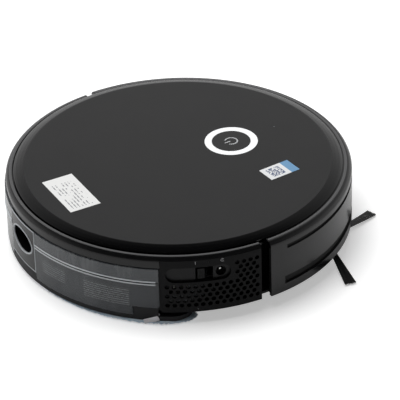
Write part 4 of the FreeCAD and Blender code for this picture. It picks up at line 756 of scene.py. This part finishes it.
def make_button_glyph():
    """Plain on-off sign in the middle of the start button."""
    centre = Vector((button_centre.x, button_centre.y, cover_high.z + 0.02 * MM))
    path = []
    for i in range(29):
        turn = math.radians(130 + 280 * i / 28)
        path.append(centre + Vector((math.cos(turn), math.sin(turn), 0)) * glyph_radius)
    bar = [centre + Vector((0, glyph_radius * part, 0)) for part in (0.15, 0.6, 1.2)]
    shapes = [sweep(line, 0.7 * MM, 6, flatten=0.12) for line in (path, bar)]
    make_piece("button_glyph", joined(shapes), glyph_finish, "start_button")


def make_lens(name, centre, outward, radius):
    """Small clear cap of an indicator light."""
    make_piece(name, dome(centre, outward, radius, 0.5 * MM), lens_finish, "root")


mark_half_width = 0.28 * MM
glyph_radius = 6.2 * MM
on_mark_angle = 154.4
off_mark_angle = 159.0
socket_mark_angle = 163.1
pad_light_angle = 154.9
pad_light_height = 16.4 * MM
pad_light_centre = polar(panel_radius - 0.55 * MM, pad_light_angle, pad_light_height)
pinhole_centre = Vector((0, -113.5 * MM, cover_high.z - 0.5 * MM))
make_panel_marks()
make_button_glyph()
make_lens("pinhole_lens", pinhole_centre, (0, 0, 1), 0.85 * MM)
make_lens("pad_lens", pad_light_centre, polar(1.0, pad_light_angle, 0), 0.65 * MM)


# ================= side brushes =================

def arm_directions(node_name, centre):
    """Directions in which the CAD brush's arms point."""
    tips = [corner.co - centre for corner in nodes[node_name].data.vertices]
    reach = max(tip.xy.length for tip in tips)
    directions = []
    for tip in tips:
        if tip.xy.length < 0.95 * reach:
            continue
        angle = math.atan2(tip.y, tip.x)
        if all(abs(angle - other) > 0.5 for other in directions):
            directions.append(angle)
    return directions, reach


def bristle(centre, direction, across, layer, reach, draw):
    """One strand: out from the hub, down at the bend, then along the floor to a cut end."""
    forward = Vector((math.cos(direction), math.sin(direction), 0))
    sideways = Vector((-forward.y, forward.x, 0))
    root = (5.0 * MM, 1.5 * MM, (5.9 + 2.5 * layer) * MM)
    knee = (21.0 * MM, 2.1 * MM, (5.4 + 2.6 * layer) * MM)
    tip = (reach - draw.uniform(0, 1.2) * MM, 5.6 * MM, (1.1 + 1.9 * layer) * MM)
    path = []
    sag = draw.uniform(-0.3, 0.3) * MM
    for i in range(8):
        part = i / 7
        if part < knee_share:
            first, second, share = root, knee, part / knee_share
        else:
            first, second, share = knee, tip, (part - knee_share) / (1 - knee_share)
        out, spread, height = (a + (b - a) * share for a, b in zip(first, second))
        bend = sag * math.sin(math.pi * part)
        path.append(Vector((centre.x, centre.y, 0)) + forward * out + sideways * (spread * across + bend)
                    + Vector((0, 0, height)))
    radii = [0.34 * MM - 0.10 * MM * i / 7 for i in range(8)]
    return sweep(path, radii, 4)


def root_clamp(centre, direction):
    """Short moulded sleeve that grips the root of a tuft."""
    foot = Vector((centre.x, centre.y, 7.3 * MM))
    forward = Vector((math.cos(direction), math.sin(direction), 0))
    path = [foot + forward * (out * MM) for out, _ in clamp_profile]
    return sweep(path, [radius * MM for _, radius in clamp_profile], 14, flatten=0.72)


def turned_piece(profile, steps, centre):
    """A profile in millimetres turned about a brush's axis."""
    return lathe([(radius * MM + 1e-6, height * MM) for radius, height in profile], steps, centre=centre.xy)


def make_side_brush(side):
    body = "side_brush_" + side
    centre = Vector(joints["side_brush_spin_" + side]["pos_m"])
    directions, reach = arm_directions(body, centre)
    draw = random.Random(7 if side == "left" else 11)
    strands, clamps = [], []
    for direction in directions:
        clamps.append(root_clamp(centre, direction))
        for i in range(bristles_per_tuft):
            across = 2 * ((i * golden_share) % 1.0) - 1
            layer = (i % 3 + draw.uniform(0, 0.8)) / 3
            strands.append(bristle(centre, direction, across, layer, reach, draw))
    make_piece(body + "_bristles", joined(strands), bristle_finish, body, (body,))
    hub = joined([turned_piece(hub_profile, 40, centre)] + clamps)
    make_piece(body + "_hub", hub, pad_finish, body)
    make_piece(body + "_screw", turned_piece(screw_profile, 24, centre), steel_finish, body)


bristles_per_tuft = 75
knee_share = 0.3
golden_share = 0.618034
# (distance out, radius) of the sleeve, then (radius, height) of the hub with its screw seat
clamp_profile = [(6.5, 3.2), (8.5, 3.3), (12.0, 2.9), (15.0, 2.6), (16.0, 2.2)]
hub_profile = [(0, 12.6), (8.0, 12.6), (9.0, 11.8), (9.0, 7.0), (8.2, 5.6), (7.0, 5.05), (3.4, 5.05),
               (3.0, 5.4), (3.0, 6.6), (0, 6.6)]
screw_profile = [(0, 6.5), (2.5, 6.5), (2.6, 6.0), (2.1, 5.5), (0.8, 5.3), (0, 5.7)]
for brush_side in ("left", "right"):
    make_side_brush(brush_side)


# ================= main brush bristles =================

def make_roller_bristles():
    """Rows of short bristles that wind along the roller between its blades."""
    centre = (roller_low + roller_high) / 2
    draw = random.Random(5)
    half = roller_half_length
    strands = []
    for row in range(6):
        for i in range(150):
            along = -half + 2 * half * i / 149
            if bare_band[0] < abs(along) < bare_band[1]:
                continue
            turn = math.tau * (row + 0.5) / 6 + 0.25 * math.sin(math.pi * along / half)
            turn += draw.uniform(-0.05, 0.05)
            outward = Vector((0, math.cos(turn), math.sin(turn)))
            start = Vector((along, centre.y, brush_axis_height)) + outward * (8.6 * MM)
            lean = Vector((draw.uniform(-0.8, 0.8) * MM, 0, 0))
            path = [start, start + outward * (4.0 * MM) + lean * 0.4, start + outward * (8.2 * MM) + lean]
            strands.append(sweep(path, [0.35 * MM, 0.28 * MM, 0.2 * MM], 4, up=(1, 0, 0)))
    make_piece("roller_bristles", joined(strands), bristle_finish, "brush_roller")


brush_axis_height = joints["roller_spin"]["pos_m"][2]
roller_half_length = 74.0 * MM
bare_band = (21.5 * MM, 28.5 * MM)
make_roller_bristles()


# ================= mop cloth =================

cloth_centre = Vector(((cloth_low.x + cloth_high.x) / 2, 0.118, 0))
cloth_half_width = (cloth_high.x - cloth_low.x) / 2
cloth_back = cloth_high.y
pile_height = 0.9 * MM


def outside_cloth(point):
    """Signed distance to the cloth's edge: straight front and sides, round back, rounded corners."""
    soft = 4.0 * MM
    from_axis = math.hypot(point.x - cloth_centre.x, point.y) - cloth_back
    sides = [abs(point.x - cloth_centre.x) - cloth_half_width, cloth_low.y - point.y, from_axis]
    return soft * math.log(sum(math.exp(side / soft) for side in sides))


def cloth_edge(turn):
    """Distance from the cloth's middle to its edge in one direction."""
    direction = Vector((math.cos(turn), math.sin(turn), 0))
    near, far = 0.0, 0.25
    for _ in range(30):
        middle = (near + far) / 2
        if outside_cloth(cloth_centre + direction * middle) < 0:
            near = middle
        else:
            far = middle
    return near


def cloth_body():
    """Thin pad with a rolled edge; its middle is pressed flat by the plate."""
    steps = 240
    rows = [(0.25, 3.1, 1.5), (0.5, 3.1, 1.5), (0.75, 3.1, 1.4), (0.9, 3.2, 1.2), (0.97, 3.45, 0.8),
            (0.988, 3.3, 0.7), (0.996, 2.8, 1.2), (1.0, 2.0, 2.0)]
    reach = [cloth_edge(math.tau * i / steps) for i in range(steps)]
    corners, faces = [], []
    for share, top, _ in rows:
        corners += [cloth_point(i, steps, reach[i] * share, top) for i in range(steps)]
    for share, _, bottom in reversed(rows[:-1]):
        corners += [cloth_point(i, steps, reach[i] * share, bottom) for i in range(steps)]
    count = 2 * len(rows) - 1
    for row in range(count - 1):
        for i in range(steps):
            after = (i + 1) % steps
            here, there = row * steps, (row + 1) * steps
            faces.append((here + i, here + after, there + after, there + i))
    faces.append(tuple(reversed(range(steps))))
    faces.append(tuple(range((count - 1) * steps, count * steps)))
    return corners, faces


def cloth_point(index, steps, distance, height):
    turn = math.tau * index / steps
    ripple = 0.12 * math.sin(turn * 37) + 0.10 * math.sin(turn * 61 + 1.0)
    flat = Vector((math.cos(turn), math.sin(turn), 0)) * distance
    return cloth_centre + flat + Vector((0, 0, (height + ripple) * MM))


def fibre_loop(foot, outward, reach, draw):
    """A strand of pile that leaves the cloth, bends over and comes back beside its start."""
    sideways = Vector((-outward.y, outward.x, 0)) * draw.uniform(0.5, 1.1) * MM
    rise = Vector((0, 0, draw.uniform(-0.5, 0.5) * MM))
    out = outward * reach
    points = [foot - sideways, foot - sideways * 1.3 + out * 0.6 + rise, foot + out,
              foot + sideways * 1.3 + out * 0.6 - rise * 0.5, foot + sideways]
    points = [Vector((p.x, p.y, min(max(0.66 * MM, p.z), 2.9 * MM))) for p in points]
    return sweep(points, [0.55 * MM, 0.6 * MM, 0.6 * MM, 0.6 * MM, 0.5 * MM], 5)


def make_mop_cloth():
    """Looped microfibre pad: a body, loops round its edge, and pile under it."""
    body = make_piece("mop_pad", cloth_body(), mop_finish, "mop_plate", ("mop_cloth",))
    draw = random.Random(3)
    loops = []
    count = 560
    for i in range(count):
        turn = math.tau * i / count
        direction = Vector((math.cos(turn), math.sin(turn), 0))
        edge = cloth_centre + direction * (cloth_edge(turn) - 1.2 * MM)
        outward = Vector((edge.x, edge.y - 0.6 * cloth_centre.y, 0)).normalized()
        foot = edge + Vector((0, 0, draw.uniform(1.3, 2.6) * MM))
        loops.append(fibre_loop(foot, outward, draw.uniform(1.0, 1.7) * MM, draw))
    make_piece("mop_pad_edge_loops", joined(loops), loop_finish, "mop_plate")
    pile = []
    pitch = 5.2 * MM
    for row in range(24):
        for column in range(-29, 30):
            place = Vector((cloth_centre.x + (column + 0.5 * (row % 2)) * pitch,
                            cloth_low.y + (row + 0.8) * pitch, pile_height))
            place += Vector((draw.uniform(-1, 1), draw.uniform(-1, 1), 0)) * MM
            if outside_cloth(place) > -3.0 * MM:
                continue
            turn = draw.uniform(0, math.tau)
            lean = Vector((math.cos(turn), math.sin(turn), 0)) * 2.6 * MM
            path = [place + Vector((0, 0, pile_height)), place + lean * 0.5, place + lean]
            pile.append(sweep(path, [0.6 * MM, 0.7 * MM, 0.5 * MM], 5, up=(0.2, 0.1, 1)))
    make_piece("mop_pad_pile", joined(pile), loop_finish, "mop_plate")


def make_mop_strap():
    """Elastic strap that comes up from the cloth over the end of the plate."""
    path = []
    steps = 14
    for i in range(steps + 1):
        part = i / steps
        reach = shell_radius + (1.2 - 1.4 * part) * MM
        path.append(polar(reach, 137.6 + 4.4 * part, (3.1 + 3.7 * part) * MM))
    path.append(polar(shell_radius - 4 * MM, 142.6, 7.6 * MM))
    make_piece("mop_strap", sweep(path, 2.8 * MM, 10, False, polar(1.0, 140.0, 0), 0.2), strap_finish,
               "mop_plate")


make_mop_cloth()
make_mop_strap()


# ================= stage =================

bright_side = (0.866, -0.5, 0.0)


def make_floor():
    """Large pale floor, a little brighter where the camera sees it directly."""
    mesh = bpy.data.meshes.new("floor")
    reach = 6.0
    mesh.from_pydata([(-reach, -reach, 0), (reach, -reach, 0), (reach, reach, 0), (-reach, reach, 0)], [],
                     [(0, 1, 2, 3)])
    floor = bpy.data.objects.new("floor", mesh)
    bpy.context.scene.collection.objects.link(floor)
    floor.location.z = -0.0004
    material, tree, shader = new_material("pale_floor")
    shader.inputs["Base Color"].default_value = (0.93, 0.93, 0.93, 1)
    shader.inputs["Roughness"].default_value = 0.6
    shader.inputs["Specular IOR Level"].default_value = 0.2
    ray = add_node(tree, "ShaderNodeLightPath")
    lift = calculate(tree, "MULTIPLY", ray.outputs["Is Camera Ray"], 0.42)
    tree.links.new(lift, shader.inputs["Emission Strength"])
    shader.inputs["Emission Color"].default_value = (1, 1, 1, 1)
    floor.data.materials.append(material)


def make_light(name, place, size, power, target=(0, 0, 0.04)):
    data = bpy.data.lights.new(name, "AREA")
    data.shape = "RECTANGLE"
    data.size, data.size_y = size
    data.energy = power
    light = bpy.data.objects.new(name, data)
    bpy.context.scene.collection.objects.link(light)
    light.location = place
    light.rotation_mode = "QUATERNION"
    light.rotation_quaternion = (Vector(target) - Vector(place)).to_track_quat("-Z", "Y")
    return light


def make_world():
    """Surroundings that are bright low down beyond the robot and dark overhead."""
    world = bpy.data.worlds.new("studio")
    world.use_nodes = True
    tree = world.node_tree
    background = tree.nodes["Background"]
    place = add_node(tree, "ShaderNodeTexCoord")
    split = add_node(tree, "ShaderNodeSeparateXYZ", {"Vector": place.outputs["Generated"]})
    toward = add_node(tree, "ShaderNodeVectorMath", {0: place.outputs["Generated"], 1: bright_side},
                      operation="DOT_PRODUCT")
    height = add_node(tree, "ShaderNodeMapRange", {"Value": split.outputs["Z"], "From Min": 0.20,
                                                   "From Max": 0.88, "To Min": 1.0, "To Max": 0.03})
    side = add_node(tree, "ShaderNodeMapRange", {"Value": toward.outputs["Value"], "From Min": -0.5,
                                                 "From Max": 0.45, "To Min": 0.10, "To Max": 1.0})
    level = multiply(tree, height.outputs["Result"], side.outputs["Result"])
    tree.links.new(level, background.inputs["Strength"])
    background.inputs["Color"].default_value = (1.0, 1.0, 1.0, 1)
    bpy.context.scene.world = world


def make_lights():
    overhead = make_light("overhead_softbox", (0.35, 0.15, 1.8), (1.6, 1.2), 30.0)
    overhead.visible_glossy = False
    bpy.context.scene.view_settings.view_transform = "Standard"


def make_camera():
    azimuth = math.radians(240.0)
    elevation = math.radians(32.35)
    distance = 2.745
    roll = math.radians(-1.98)
    target = Vector((0, 0, 0.040))
    back = Vector((math.sin(azimuth) * math.cos(elevation), -math.cos(azimuth) * math.cos(elevation),
                   math.sin(elevation)))
    data = bpy.data.cameras.new("camera")
    data.sensor_width = 36.0
    data.lens = 247.5
    data.shift_x = 0.053
    data.shift_y = -0.019
    camera = bpy.data.objects.new("camera", data)
    bpy.context.scene.collection.objects.link(camera)
    camera.location = target + back * distance
    camera.rotation_mode = "QUATERNION"
    camera.rotation_quaternion = (-back).to_track_quat("-Z", "Y") @ Quaternion((0, 0, 1), roll)
    bpy.context.scene.camera = camera


make_floor()
make_world()
make_lights()
make_camera()
